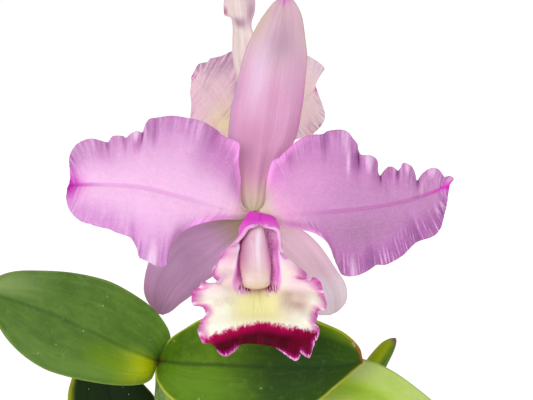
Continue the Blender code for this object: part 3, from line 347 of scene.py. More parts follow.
STEM_PATH = ((2.8, -67.0, -35), (3.0, -55, -29.5), (3.0, -40, -24.5), (3.0, -27, -21.5), (3.0, -15, -19.5),
             (2.8, -6.5, -16.5), (2.6, -1.6, -11.8), (2.5, -0.5, -8.6), (2.5, -0.5, -5.6))
STEM_RADII = (2.6, 2.3, 2.2, 2.2, 2.0, 2.0, 2.4, 3.0, 3.2)
REAR_STEM_PATH = ((3.0, -29, -22.2), (3.2, -15, -27.5), (3.0, 0, -33), (2.4, 12, -37), (1.6, 20, -40.5),
                  (1.3, 24.2, -44.8), (2.2, 25.8, -49.3))
REAR_STEM_RADII = (1.8, 1.9, 1.9, 2.0, 2.3, 3.0, 3.2)

# How soon and how sharply a blade's cup and ruffle grow from its base.
SWELL_START = 0.06
SWELL_POWER = 0.6
# Cells along and across each kind of blade.
LEAF_CELLS = (130, 44)
PETAL_CELLS = (360, 86)
DORSAL_CELLS = (170, 64)
LATERAL_CELLS = (120, 52)
LIP_CELLS = (230, 190)
SHEATH_CELLS = (28, 64)
# Where each pseudobulb's two sheaths start and end, as shares of its height.
SHEATH_LEVELS = ((0.0, 0.3), (0.16, 0.56))
REAR_PETAL_CELLS = (140, 50)
REAR_SEPAL_CELLS = (80, 32)
REAR_LIP_CELLS = (96, 80)
# Crimps: height, pitch and reach from the edge. The finest ones take their height from the settings.
LEAF_CRIMPS = ((0.22, 24.0, 7.0),)
SEPAL_CRIMPS = ((0.25, 19.0, 8.0),)
PETAL_CRIMPS = ((0.8, 9.5, 8.0), (0.42, 4.6, 5.0))
PETAL_FINEST = (2.3, 2.6)
REAR_SEPAL_CRIMPS = ((0.3, 9.0, 5.0),)
REAR_PETAL_CRIMPS = ((0.7, 7.5, 6.0), (0.4, 3.6, 4.0))
REAR_PETAL_FINEST = (1.9, 2.4)
REAR_CRIMP_SHARE = 0.7
# Creases: depth and half width. Ridges: height and how many run lengthwise.
LEAF_CREASE = (1.1, 3.0)
SEPAL_CREASE = (0.5, 3.0)
PETAL_CREASE = (0.4, 2.2)
REAR_SEPAL_CREASE = (-0.4, 2.0)
REAR_PETAL_CREASE = (-0.5, 2.0)
SEPAL_RIDGES = (0.35, 3.0)
REAR_SEPAL_RIDGES = (0.25, 3.0)
# How much thicker a leaf and a sepal are along the midrib, in metres, and the lip's tube at
# its rim, in millimetres.
LEAF_RIB_GAIN = 0.0006
SEPAL_RIB_GAIN = 0.0004
LIP_TUBE_GAIN = 0.6
# The side that a tube's seam is turned from, and the rings along and sides round each kind of tube.
TUBE_FACING = (0.31, -0.9, 0.3)
RINGS = {"rhizome": 90, "root": 70, "bulb": 110, "shoot": 100, "stem": 120, "column": 110, "cap": 30}
SIDES = {"rhizome": 28, "root": 16, "bulb": 64, "shoot": 48, "stem": 30, "column": 72, "cap": 78}

# The soft lights: name, place, size, power and colour.
LIGHT_TARGET = (0.0, 0.0, 0.24)
LIGHTS = (
    ("key light", (-0.55, -0.85, 0.95), 0.7, 6.0, (1.0, 0.99, 0.98)),
    ("fill light", (0.5, -0.95, 0.14), 0.8, 2.0, (0.98, 0.98, 1.0)),
    ("back light", (0.3, 0.9, 0.9), 0.8, 2.5, (1.0, 1.0, 1.0)),
)
FLOOR_SIZE = 6.0
SKY_STRENGTH = 0.6
WHITE = (1.0, 1.0, 1.0, 1.0)


# Settings


def tint(red, green, blue):
    """Turn a colour of 0 to 255 into the linear colour that Blender keeps."""
    shares = [channel / 255.0 for channel in (red, green, blue)]
    return tuple(share / 12.92 if share <= 0.04045 else ((share + 0.055) / 1.055) ** 2.4
                 for share in shares)


def colour(name, red, green, blue, description):
    """Return a colour setting."""
    return bpy.props.FloatVectorProperty(name=name, description=description, subtype="COLOR", size=3,
                                         min=0.0, max=1.0, default=tint(red, green, blue))


def length(name, default, description):
    """Return a length setting, in metres, from a default in millimetres."""
    return bpy.props.FloatProperty(name=name, description=description, subtype="DISTANCE", unit="LENGTH",
                                   default=default * MM, min=0.0)


class OrchidSizes(bpy.types.PropertyGroup):
    """Sizes of the orchid's parts that a user may change."""

    petal_thickness: length("Petal thickness", 0.9, "Thickness of a petal or sepal along its middle")
    petal_rim: length("Petal rim", 0.45, "Thickness of a petal, sepal or lip at its edge")
    leaf_thickness: length("Leaf thickness", 1.6, "Thickness of a leaf along its middle")
    leaf_rim: length("Leaf rim", 0.55, "Thickness of a leaf at its edge")
    crimp_height: length("Crimp height", 0.3, "Height of the fine crimps round a petal's edge")
    frill_height: length("Frill height", 0.95, "Height of the fine frill round the lip")
    chip_length: length("Bark chip length", 15.0, "Mean length of a bark chip")
    chip_spacing: length("Bark chip spacing", 4.6, "Least distance between the middles of two bark chips")


class OrchidColours(bpy.types.PropertyGroup):
    """Colours of the orchid's parts that a user may change."""

    petal_pale: colour("Petal pale", 236, 188, 228, "The left petal's lit middle")
    petal_pink: colour("Petal pink", 240, 190, 236, "The left petal's outer part")
    petal_shade: colour("Petal shade", 188, 114, 182, "Valleys between the petals' pleats")
    petal_tip: colour("Petal tip", 180, 10, 165, "Flush at the petals' tips")
    petal_claw: colour("Petal claw", 205, 178, 160, "The petals' narrow base")
    sepal_pink: colour("Sepal pink", 228, 168, 210, "The dorsal sepal's middle")
    sepal_mauve: colour("Sepal mauve", 188, 142, 178, "The sepals' shaded parts")
    sepal_pale: colour("Sepal pale", 224, 190, 208, "The right lateral sepal")
    sepal_green: colour("Sepal green", 190, 170, 135, "The sepals' base and their edge line")
    lip_cream: colour("Lip cream", 255, 250, 230, "The lip's open middle")
    lip_yellow: colour("Lip yellow", 253, 246, 178, "The yellow in the lip's middle")
    lip_maroon: colour("Lip maroon", 72, 0, 20, "The dark band near the lip's free end")
    lip_magenta: colour("Lip magenta", 222, 54, 198, "The lip's hood and the rim of its dark band")
    lip_pink: colour("Lip pink", 222, 136, 194, "The lip's frilled edge")
    # Paler than the throat's own lilac, as painted light shining through its thin walls.
    lip_throat: colour("Lip throat", 250, 160, 232, "The walls of the lip's throat")
    column_pale: colour("Column pale", 242, 200, 220, "The column's middle")
    column_shade: colour("Column shade", 206, 138, 172, "The column's sides")
    column_cap: colour("Column cap", 232, 210, 194, "The cap at the column's end")
    leaf_rim: colour("Leaf rim", 196, 202, 64, "The leaves' yellow edge")
    leaf_tip: colour("Leaf tip", 152, 74, 30, "The dry tip of the centre leaf")
    stem_green: colour("Stem green", 120, 148, 62, "Flower stem and pseudobulbs")
    sheath: colour("Sheath", 198, 178, 132, "The dry sheaths")
    root_white: colour("Root white", 205, 200, 180, "The roots' spongy skin")
    bark_dark: colour("Bark dark", 70, 42, 26, "Dark bark")
    bark_light: colour("Bark light", 150, 98, 60, "Freshly broken bark")
    pot_clay: colour("Pot clay", 190, 104, 68, "Fired clay")
    pot_bloom: colour("Pot bloom", 214, 176, 150, "Lime bloom on the clay")


# Shape


def seen(points):
    """Return the places, in metres, of points of the flower's plane as the viewer
    sees them, each lying z in front of the plane."""
    points = np.asarray(points, dtype=float)
    depth = points[..., 2:3]
    flat = VIEW_CENTRE + (points[..., :2] - VIEW_CENTRE) * (1.0 - depth / VIEW_DISTANCE)
    return (FLOWER_AT + flat[..., :1] * FLOWER_X + flat[..., 1:] * FLOWER_Y + depth * FLOWER_Z) * MM


def rear(points):
    """Return the places of points of the front flower as they lie on the rear one."""
    offset = (np.asarray(points, dtype=float) - HUB) * REAR_SIZE
    turned_round = (offset[..., :1] * np.array(REAR_ACROSS) + offset[..., 1:2] * np.array(REAR_UP)
                    + offset[..., 2:] * np.array(REAR_FACING))
    middle = VIEW_CENTRE + (REAR_HUB[:2] - VIEW_CENTRE) * (1.0 - REAR_HUB[2] / VIEW_DISTANCE)
    flat = middle + turned_round[..., :2]
    depth = REAR_HUB[2] + turned_round[..., 2:]
    return (FLOWER_AT + flat[..., :1] * FLOWER_X + flat[..., 1:] * FLOWER_Y + depth * FLOWER_Z) * MM


def upright(points):
    """Return pot coordinates in metres."""
    return np.asarray(points, dtype=float) * MM


def along(points, shares):
    """Return the points at shares of the way along a smooth curve through points."""
    points = np.asarray(points, dtype=float)
    steps = np.linalg.norm(np.diff(points, axis=0), axis=1)
    knots = np.concatenate(([0.0], np.cumsum(steps))) / steps.sum()
    return smooth_curve(points, knots, np.clip(shares, 0.0, 1.0))


def smooth_curve(points, knots, places):
    """Return the points of a smooth curve that meets points at knots."""
    span = np.clip(np.searchsorted(knots, places, side="right") - 1, 0, len(points) - 2)
    width = (knots[span + 1] - knots[span])
    t = ((places - knots[span]) / width)[:, None]
    after = np.minimum(np.arange(len(points)) + 1, len(points) - 1)
    before = np.maximum(np.arange(len(points)) - 1, 0)
    slope = (points[after] - points[before]) / (knots[after] - knots[before])[:, None]
    width = width[:, None]
    return (points[span] * (1 + 2 * t) * (1 - t) ** 2 + slope[span] * width * t * (1 - t) ** 2
            + points[span + 1] * t * t * (3 - 2 * t) + slope[span + 1] * width * t * t * (t - 1))


def step_up(value, low, high):
    """Rise smoothly from 0 at low to 1 at high."""
    share = np.clip((np.asarray(value, dtype=float) - low) / (high - low), 0.0, 1.0)
    return share * share * (3.0 - 2.0 * share)


def bump_at(value, middle, width):
    """Return a soft bump of height 1 at middle."""
    return np.exp(-((value - middle) / width) ** 2)


def soften(line, window):
    """Smooth a line of points and keep its two ends."""
    reach = np.arange(-window, window + 1)
    weights = np.cos(reach / (window + 1) * math.pi / 2)
    padded = np.concatenate((2 * line[:1] - line[window:0:-1], line,
                             2 * line[-1:] - line[-2:-window - 2:-1]))
    made = sum(weight * padded[window + shift:window + shift + len(line)] for shift,
               weight in zip(reach, weights))
    return made / weights.sum()


def reach_along(points, axis):
    """Return how far each grid point lies along its line from the line's start."""
    steps = np.linalg.norm(np.diff(points, axis=axis), axis=-1)
    pad = [(0, 0), (0, 0)]
    pad[axis] = (1, 0)
    return np.pad(np.cumsum(steps, axis=axis), pad)


def grid_normals(points):
    """Return the unit normals of a grid, on the side that faces the viewer."""
    normal = np.cross(np.gradient(points, axis=0), np.gradient(points, axis=1))
    return normal / np.maximum(np.linalg.norm(normal, axis=-1, keepdims=True), 1e-9)


def wobble(values, pitch, seed):
    """Return a slow uneven wave between -1 and 1."""
    rng = random.Random(seed)
    turns = [rng.uniform(0.0, 2 * math.pi) for _ in range(3)]
    full_turn = 2 * math.pi * values
    return (np.sin(full_turn / pitch + turns[0]) + 0.6 * np.sin(full_turn / (pitch * 0.61) + turns[1])
            + 0.4 * np.sin(full_turn / (pitch * 0.37) + turns[2])) / 2.0


def blade(form, rows, columns, crimps=(), folds=(), crease=(0.0, 1.0), ridges=(0.0, 1.0), seed=0):
    """Return the points and the marks of a petal, sepal or leaf.

    A crimp is height, pitch and reach from the edge. A fold is x and y on the
    edge, width along it, height and reach from it. The crease lowers the midrib,
    and ridges run lengthwise.
    """
    shares = np.linspace(0.0, 1.0, rows + 1)
    sides = np.linspace(-1.0, 1.0, columns + 1)
    out = np.abs(sides)[None, :]
    rib = along(form["midrib"], shares)[:, None, :]
    margins = {side: along(form[side], shares) for side in ("left", "right")}
    window = max(3, rows // 16)
    calm = {side: soften(line, window) for side, line in margins.items()}
    is_left = (sides > 0)[None, :]
    edge = np.where(is_left[..., None], margins["left"][:, None], margins["right"][:, None])
    soft = np.where(is_left[..., None], calm["left"][:, None], calm["right"][:, None])
    flat = rib[..., :2] + (soft - rib[..., :2]) * out[..., None] + (edge - soft) * out[..., None] ** 5
    swell = (np.sin(np.pi * np.minimum(1.0, SWELL_START + shares)).clip(0.0) ** SWELL_POWER)[:, None]
    depth = rib[..., 2] + 0.0 * out
    for side, mask in (("left", is_left), ("right", ~is_left)):
        height, waves, phase = form.get("ruffle_" + side, (0.0, 0.0, 0.0))
        wave = np.sin(2 * math.pi * (waves * shares + phase))[:, None]
        depth = depth + mask * swell * (form.get("cup_" + side, 0.0) * out ** 2 + height * out ** 3 * wave)
    points = np.concatenate((flat, depth[..., None]), axis=-1)

    across = reach_along(points, 1)
    middle = across[:, columns // 2:columns // 2 + 1]
    from_rib = np.abs(across - middle)
    to_edge = np.minimum(across, across[:, -1:] - across)
    run = np.where(is_left, reach_along(margins["left"][:, None], 0),
                   reach_along(margins["right"][:, None], 0))
    opened = step_up(shares, 0.05, 0.2)[:, None]
    ends = np.minimum(opened, 1.0 - step_up(shares, 0.97, 1.0)[:, None] * 0.6)
    lift = np.zeros_like(to_edge)
    crimp_mark = np.zeros_like(to_edge)
    for index, (height, pitch, reach) in enumerate(crimps):
        uneven = run + 0.55 * pitch * wobble(run, pitch * 6.3, seed + index)
        strength = 0.65 + 0.35 * wobble(run, pitch * 9.1, seed + 40 + index)
        wave = np.sin(2 * math.pi * (uneven / pitch + 0.4 * is_left)) * strength
        lift += height * wave * np.exp(-(to_edge / reach) ** 1.5) * ends
        crimp_mark += wave * np.exp(-(to_edge / (reach * 1.3)) ** 2) / len(crimps)
    fold_mark = np.zeros_like(to_edge)
    for x, y, width, height, reach in folds:
        gaps = {side: np.hypot(*(margins[side] - (x, y)).T) for side in margins}
        side = min(gaps, key=lambda key: gaps[key].min())
        mask = is_left if side == "left" else ~is_left
        here = run[np.argmin(gaps[side]), -1 if side == "left" else 0]
        shape = mask * bump_at(run, here, width) * np.exp(-(to_edge / reach) ** 2)
        lift += height * shape
        fold_mark += np.sign(height) * shape
    lift -= crease[0] * np.exp(-(from_rib / crease[1]) ** 2) * opened
    lift += ridges[0] * np.cos(np.pi * ridges[1] * sides)[None, :] * swell
    points[..., 2] += lift
    marks = {
        "to_edge": to_edge,
        "from_rib": from_rib,
        "crimp": crimp_mark,
        "fold": fold_mark,
        "span": shares[:, None] + 0.0 * out,
        "side": sides[None, :] + 0.0 * to_edge,
    }
    return points, marks


def hood_station(centre, wide, deep, spans, slope):
    """Return one section of the lip's tube round the column, with squared shoulders."""
    points = []
    for index in range(9):
        right = index > 4
        angle = math.radians(spans[right]) * (index / 4.0 - 1.0)
        over = math.copysign(abs(math.sin(angle)) ** HOOD_SQUARE, math.sin(angle)) * wide[right]
        front = -math.copysign(abs(math.cos(angle)) ** HOOD_SQUARE, math.cos(angle)) * deep
        points.append((centre[0] + over, centre[1] + front * 0.5 - slope * over, centre[2] + front * 0.87))
    return points


def lip(rows, columns, frill):
    """Return the points and the marks of the lip, in the front flower's millimetres."""
    stations = [hood_station(*section, slope) for section,
                slope in zip(LIP_TUBE, HOOD_SLOPE)] + list(LIP_STATIONS)
    last = len(stations) - 1
    sides = np.linspace(-1.0, 1.0, columns + 1)
    sections = np.array([along(station, (sides + 1.0) / 2.0) for station in stations])
    lengths = np.linalg.norm(np.diff(sections, axis=0), axis=-1).mean(axis=1)
    run = np.concatenate(([0.0], np.cumsum(lengths)))
    places = np.interp(np.linspace(0.0, run[-1], rows + 1), run, np.arange(last + 1))
    knots = np.arange(last + 1, dtype=float)
    points = np.stack([smooth_curve(sections[:, index], knots, places) for index in range(columns + 1)],
                      axis=1)

    for side, edge in ((0, LIP_LEFT_EDGE), (-1, LIP_RIGHT_EDGE)):
        edge = np.array(edge)
        scalloped = smooth_curve(edge[:, 1:], edge[:, 0], np.clip(places, edge[0, 0], edge[-1, 0]))
        change = (scalloped - points[:, side, :2]) * step_up(places, 3.6, 3.9)[:, None]
        weight = np.clip(-sides if side == 0 else sides, 0.0, 1.0) ** 7
        points[..., :2] += change[:, None] * weight[None, :, None]
    front = along(LIP_FRONT_EDGE, (sides + 1.0) / 2.0)
    change = front - points[-1, :, :2]
    weight = step_up(places, 9.6, 11.0) ** 1.5
    points[..., :2] += change[None] * weight[:, None, None]

    across = reach_along(points, 1)
    down = reach_along(points, 0)
    to_side = np.minimum(across, across[:, -1:] - across)
    to_front = down[-1:] - down
    open_part = step_up(places, 3.6, 5.0)[:, None]
    left_run = reach_along(points[:, :1], 0)
    right_run = reach_along(points[:, -1:], 0) + 7.0
    side_run = np.where(sides[None, :] < 0, left_run, right_run)
    front_run = reach_along(points[-1:], 1) + 3.0
    waves = LIP_FRILL[1] * (down / down[-1:])
    lift = LIP_FRILL[0] * np.sin(2 * math.pi * waves) * np.abs(sides[None, :]) ** 4 * open_part
    curl = np.zeros_like(lift)
    flaps = 0.25 + 0.75 * step_up(np.abs(points[-1:, :, 0] - LIP_MIDDLE), 5.0, 9.0)
    for height, pitch, reach in ((1.5, 7.2, 3.4), (frill, 3.1, 1.8), (frill * 0.35, 1.4, 1.0)):
        for distance, travel, mask in ((to_side, side_run, open_part), (to_front, front_run, flaps)):
            uneven = travel + 0.5 * pitch * wobble(travel, pitch * 5.3, int(pitch * 100))
            wave = np.sin(2 * math.pi * uneven / pitch) * (0.75 + 0.25 * wobble(travel, pitch * 8.7, 3))
            lift = lift + height * wave * np.exp(-(distance / reach) ** 1.4) * mask
            curl = curl + wave * np.exp(-(distance / reach) ** 2) * mask / 3.0
    points[..., 2] += lift

    y_start = np.interp(points[..., 0], *zip(*MAROON_START))
    left_wall = np.interp(-points[..., 1], [-y for _, y in THROAT_LEFT], [x for x, _ in THROAT_LEFT])
    right_wall = np.interp(-points[..., 1], [-y for _, y in THROAT_RIGHT], [x for x, _ in THROAT_RIGHT])
    inside = np.minimum(points[..., 0] - left_wall, right_wall - points[..., 0])
    seam = (1.0 - step_up(places, 0.85, 1.3))[:, None]
    marks = {
        "to_edge": np.minimum(np.where(open_part > 0.02, to_side, 9.0), to_front),
        "maroon": (y_start - points[..., 1] + 9.0) * step_up(places, 8.2, 9.0)[:, None] - 9.0,
        "inside": np.where(places[:, None] < 0.9, 9.0, inside),
        "hood": (1.0 - step_up(places, 1.3, 3.4))[:, None] + 0.0 * inside,
        "tube_rim": to_side + 9.0 * step_up(places, 4.0, 4.8)[:, None] + 9.0 * seam,
        "crimp": curl,
        "side": sides[None, :] + 0.0 * inside,
        "low": -points[..., 1],
        "over": points[..., 0],
    }
    return points, marks


def tube(path, shares, widths, depths=None, *, sides, flute, facing=TUBE_FACING):
    """Return rings of points round a path, with half widths and half depths."""
    middles = along(path, shares)
    widths = np.interp(shares, np.linspace(0.0, 1.0, len(widths)), widths)
    depths = widths if depths is None else np.interp(shares, np.linspace(0.0, 1.0, len(depths)), depths)
    ahead = np.gradient(middles, axis=0)
    ahead /= np.linalg.norm(ahead, axis=1, keepdims=True)
    over = np.cross(facing, ahead)
    over /= np.linalg.norm(over, axis=1, keepdims=True)
    front = np.cross(ahead, over)
    angles = np.arange(sides) * 2 * math.pi / sides
    swell = flute(shares[:, None], angles[None, :])
    rings = (middles[:, None] + over[:, None] * (np.cos(angles) * widths[:, None] * swell)[..., None]
             + front[:, None] * (np.sin(angles) * depths[:, None] * swell)[..., None])
    skin = np.stack(np.broadcast_arrays(reach_along(middles[:, None], 0),
                                        np.cos(angles)[None] * widths[:, None],
                                        np.sin(angles)[None] * widths[:, None]), axis=-1)
    return rings, skin


# Meshes


def new_object(name, data):
    """Put an object with this data in the scene."""
    made = bpy.data.objects.new(name, data)
    bpy.context.scene.collection.objects.link(made)
    return made


def new_mesh(name, bm):
    """Return the mesh of a bmesh, and free the bmesh."""
    mesh = bpy.data.meshes.new(name)
    bm.to_mesh(mesh)
    bm.free()
    return mesh


def add_piece(name, mesh, finish, slot_name, *nodes):
    """Put a mesh in the scene as a piece of the orchid that stands for CAD nodes."""
    made = new_object(name, mesh)
    mesh.materials.clear()
    mesh.materials.append(finish)
    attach(made, "root")
    if nodes:
        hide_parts(*nodes)
    return made


def build_mesh(name, points, faces, marks, uv=None):
    """Make a smooth mesh with a float attribute for each mark."""
    mesh = bpy.data.meshes.new(name)
    mesh.from_pydata(points.tolist(), [], faces)
    for key, values in marks.items():
        if values.ndim == 2:
            layer = mesh.attributes.new(key, "FLOAT_VECTOR", "POINT")
            layer.data.foreach_set("vector", values.astype(np.float32).ravel())
        else:
            layer = mesh.attributes.new(key, "FLOAT", "POINT")
            layer.data.foreach_set("value", values.astype(np.float32))
    if uv is not None:
        corners = np.empty(len(mesh.loops), dtype=np.int32)
        mesh.loops.foreach_get("vertex_index", corners)
        layer = mesh.uv_layers.new(name="surface")
        layer.data.foreach_set("uv", uv[corners].astype(np.float32).ravel())
    mesh.shade_smooth()
    mesh.validate()
    return mesh


def shell(name, points, marks, thickness, place):
    """Make a closed sheet of varying thickness from a grid of points."""
    rows, columns = points.shape[:2]
    count = rows * columns
    normal = grid_normals(points) * thickness[..., None] / 2.0
    both = np.concatenate(((points + normal).reshape(-1, 3), (points - normal).reshape(-1, 3)))
    index = np.arange(count).reshape(rows, columns)
    quads = np.stack((index[:-1, :-1], index[1:, :-1], index[1:, 1:], index[:-1, 1:]),
                     axis=-1).reshape(-1, 4)
    loop = np.concatenate((index[:-1, 0], index[-1, :-1], index[:0:-1, -1], index[0, :0:-1]))
    following = np.roll(loop, -1)
    rim = np.stack((following, loop, loop + count, following + count), axis=-1)
    faces = np.concatenate((quads, quads[:, ::-1] + count, rim)).tolist()
    shown = {key: np.tile(values.ravel(), 2) for key, values in marks.items()}
    shown["underside"] = np.repeat((0.0, 1.0), count)
    over, down = np.meshgrid(np.linspace(0.0, 1.0, columns), np.linspace(0.0, 1.0, rows))
    uv = np.tile(np.stack((down.ravel(), over.ravel()), axis=-1), (2, 1))
    return build_mesh(name, place(both), faces, shown, uv)


def closed_tube(name, rings, skin, place):
    """Make a tube with rounded, closed ends from rings of points."""
    count, sides = rings.shape[:2]
    index = np.arange(count * sides).reshape(count, sides)
    around = np.roll(index, -1, axis=1)
    quads = np.stack((index[:-1], around[:-1], around[1:], index[1:]), axis=-1).reshape(-1, 4).tolist()
    ends = np.array((rings[0].mean(axis=0), rings[-1].mean(axis=0)))
    first, last = count * sides, count * sides + 1
    caps = [(first, b, a) for a, b in zip(index[0], around[0])]
    caps += [(last, a, b) for a, b in zip(index[-1], around[-1])]
    points = np.concatenate((rings.reshape(-1, 3), ends))
    marks = {"skin": np.concatenate((skin.reshape(-1, 3), skin[0].mean(axis=0)[None],
                                     skin[-1].mean(axis=0)[None]))}
    mesh = build_mesh(name, place(points), quads + [tuple(int(item) for item in cap) for cap in caps],
                      marks)
    return outward(mesh)


def outward(mesh):
    """Turn a closed mesh's faces so that they point outwards."""
    bm = bmesh.new()
    bm.from_mesh(mesh)
    bmesh.ops.recalc_face_normals(bm, faces=bm.faces[:])
    bm.to_mesh(mesh)
    bm.free()
    return mesh


def turned(name, profile, steps, ripple):
    """Make a turned solid from a profile of radius and height that starts and ends on the axis."""
    profile = np.array(profile, dtype=float)
    angles = np.arange(steps) * 2 * math.pi / steps
    inner = profile[1:-1]
    radii = inner[:, :1] * np.ones((1, steps))
    heights = inner[:, 1:] * np.ones((1, steps))
    radii, heights = ripple(radii, heights, angles[None, :])
    rings = np.stack((radii * np.cos(angles), radii * np.sin(angles), heights), axis=-1)
    points = np.concatenate((rings.reshape(-1, 3), ((0.0, 0.0, profile[0, 1]), (0.0, 0.0, profile[-1, 1]))))
    index = np.arange(len(inner) * steps).reshape(len(inner), steps)
    around = np.roll(index, -1, axis=1)
    faces = np.stack((index[:-1], around[:-1], around[1:], index[1:]), axis=-1).reshape(-1, 4).tolist()
    first, last = len(inner) * steps, len(inner) * steps + 1
    faces += [(first, int(b), int(a)) for a, b in zip(index[0], around[0])]
    faces += [(last, int(a), int(b)) for a, b in zip(index[-1], around[-1])]
    return outward(build_mesh(name, upright(points), faces, {}))


def evaluated_mesh(made):
    """Return an object's mesh with its modifiers applied, and remove the object."""
    bpy.context.view_layer.update()
    mesh = bpy.data.meshes.new_from_object(made.evaluated_get(bpy.context.evaluated_depsgraph_get()))
    bpy.data.objects.remove(made)
    return mesh


# Finishes


class Finish:
    """A procedural material, built one node at a time."""

    def __init__(self, name, **sockets):
        self.material = bpy.data.materials.new(name)
        self.material.use_nodes = True
        self.nodes = self.material.node_tree.nodes
        self.links = self.material.node_tree.links
        self.shader = self.nodes["Principled BSDF"]
        for key, value in sockets.items():
            self.shader.inputs[key.replace("_", " ")].default_value = value

    def node(self, kind, inputs, output=0, **settings):
        """Add a node, fill its inputs with sockets or values, and return one output."""
        made = self.nodes.new(kind)
        for key, value in settings.items():
            setattr(made, key, value)
        for key, value in inputs.items():
            socket = made.inputs[key]
            if isinstance(value, bpy.types.NodeSocket):
                self.links.new(value, socket)
            elif socket.type == "RGBA":
                socket.default_value = (*tuple(value)[:3], 1.0)
            else:
                socket.default_value = value
        return made.outputs[output]

    def mark(self, name):
        """Read a float attribute."""
        return self.node("ShaderNodeAttribute", {}, output=2, attribute_name=name)

    def vector(self, name):
        """Read a vector attribute."""
        return self.node("ShaderNodeAttribute", {}, output=1, attribute_name=name)

    def place(self):
        """Read the object coordinates."""
        return self.node("ShaderNodeTexCoord", {}, output=3)

    def maths(self, operation, first, second=0.0):
        """Do one sum."""
        return self.node("ShaderNodeMath", {0: first, 1: second}, operation=operation)

    def times(self, first, second):
        """Multiply two values."""
        return self.maths("MULTIPLY", first, second)

    def band(self, value, low, high, start=0.0, end=1.0):
        """Go smoothly from start at low to end at high."""
        return self.node("ShaderNodeMapRange", {"Value": value, "From Min": low, "From Max": high,
                                                "To Min": start, "To Max": end},
                                                interpolation_type="SMOOTHSTEP")

    def mix(self, share, first, second):
        """Mix two colours."""
        return self.node("ShaderNodeMix", {0: share, 6: first, 7: second}, output=2, data_type="RGBA")

    def lay(self, base, tone, value, low, high, share=1.0):
        """Lay a tone on a colour where a value goes from low to high, up to a share."""
        return self.mix(self.band(value, low, high, 0.0, share), base, tone)

    def glaze(self, base, tone, where, amount):
        """Lay a tone on a colour by two shares multiplied."""
        return self.mix(self.times(where, amount), base, tone)

    def near(self, value, middle, reach, full=0.0):
        """Fall from 1, where a value is within full of a middle, to 0 at its reach."""
        return self.band(self.maths("ABSOLUTE", self.maths("SUBTRACT", value, middle)), reach, full)

    def shifted(self, value, noise, low, high, most):
        """Shift a value to and fro by a noise."""
        return self.maths("ADD", value, self.band(noise, low, high, -most, most))

    def parts(self, vector):
        """Return the three parts of a vector."""
        return self.node("ShaderNodeSeparateXYZ", {0: vector}).node.outputs

    def patch(self, base, where, patches):
        """Lay soft patches of colour: each is span, side, reach along, reach over, colour and share."""
        for span, side, along_reach, over_reach, tone, share in patches:
            near = [self.near(value, middle, reach) for value, middle,
                    reach in ((where[0], span, along_reach), (where[1], side, over_reach))]
            base = self.mix(self.times(self.times(*near), share), base, tone)
        return base

    def joined(self, x, y, z=0.0):
        """Join three values as a vector."""
        return self.node("ShaderNodeCombineXYZ", {0: x, 1: y, 2: z})

    def noise(self, vector, scale, detail=3.0, roughness=0.55, distortion=0.0):
        """Return a noise of 0 to 1."""
        return self.node("ShaderNodeTexNoise", {"Vector": vector, "Scale": scale, "Detail": detail,
                                                "Roughness": roughness, "Distortion": distortion})

    def streaked(self, first, first_scale, second, second_scale, detail=3.0, roughness=0.55):
        """Return a noise that has its own scale along each of two values."""
        return self.noise(self.joined(self.times(first, first_scale), self.times(second, second_scale)),
                          1.0, detail, roughness)

    def stretch(self, vector, x, y, z):
        """Scale a vector along its axes."""
        return self.node("ShaderNodeVectorMath", {0: vector, 1: (x, y, z)}, operation="MULTIPLY")

    def relief(self, height, distance, strength, under=None):
        """Return a normal for a height."""
        inputs = {"Height": height, "Distance": distance, "Strength": strength}
        if under is not None:
            inputs["Normal"] = under
        return self.node("ShaderNodeBump", inputs)

    def finish(self, base, normal=None, roughness=None):
        """Connect the colour, normal and roughness, and return the material."""
        self.links.new(base, self.shader.inputs["Base Color"])
        if normal is not None:
            self.links.new(normal, self.shader.inputs["Normal"])
        if roughness is not None:
            self.links.new(roughness, self.shader.inputs["Roughness"])
        return self.material


PETAL_SOCKETS = {"Roughness": 0.6, "Sheen_Weight": 0.06, "Sheen_Roughness": 0.4, "Subsurface_Weight": 0.12,
                 "Subsurface_Scale": 0.0012, "Specular_IOR_Level": 0.2}


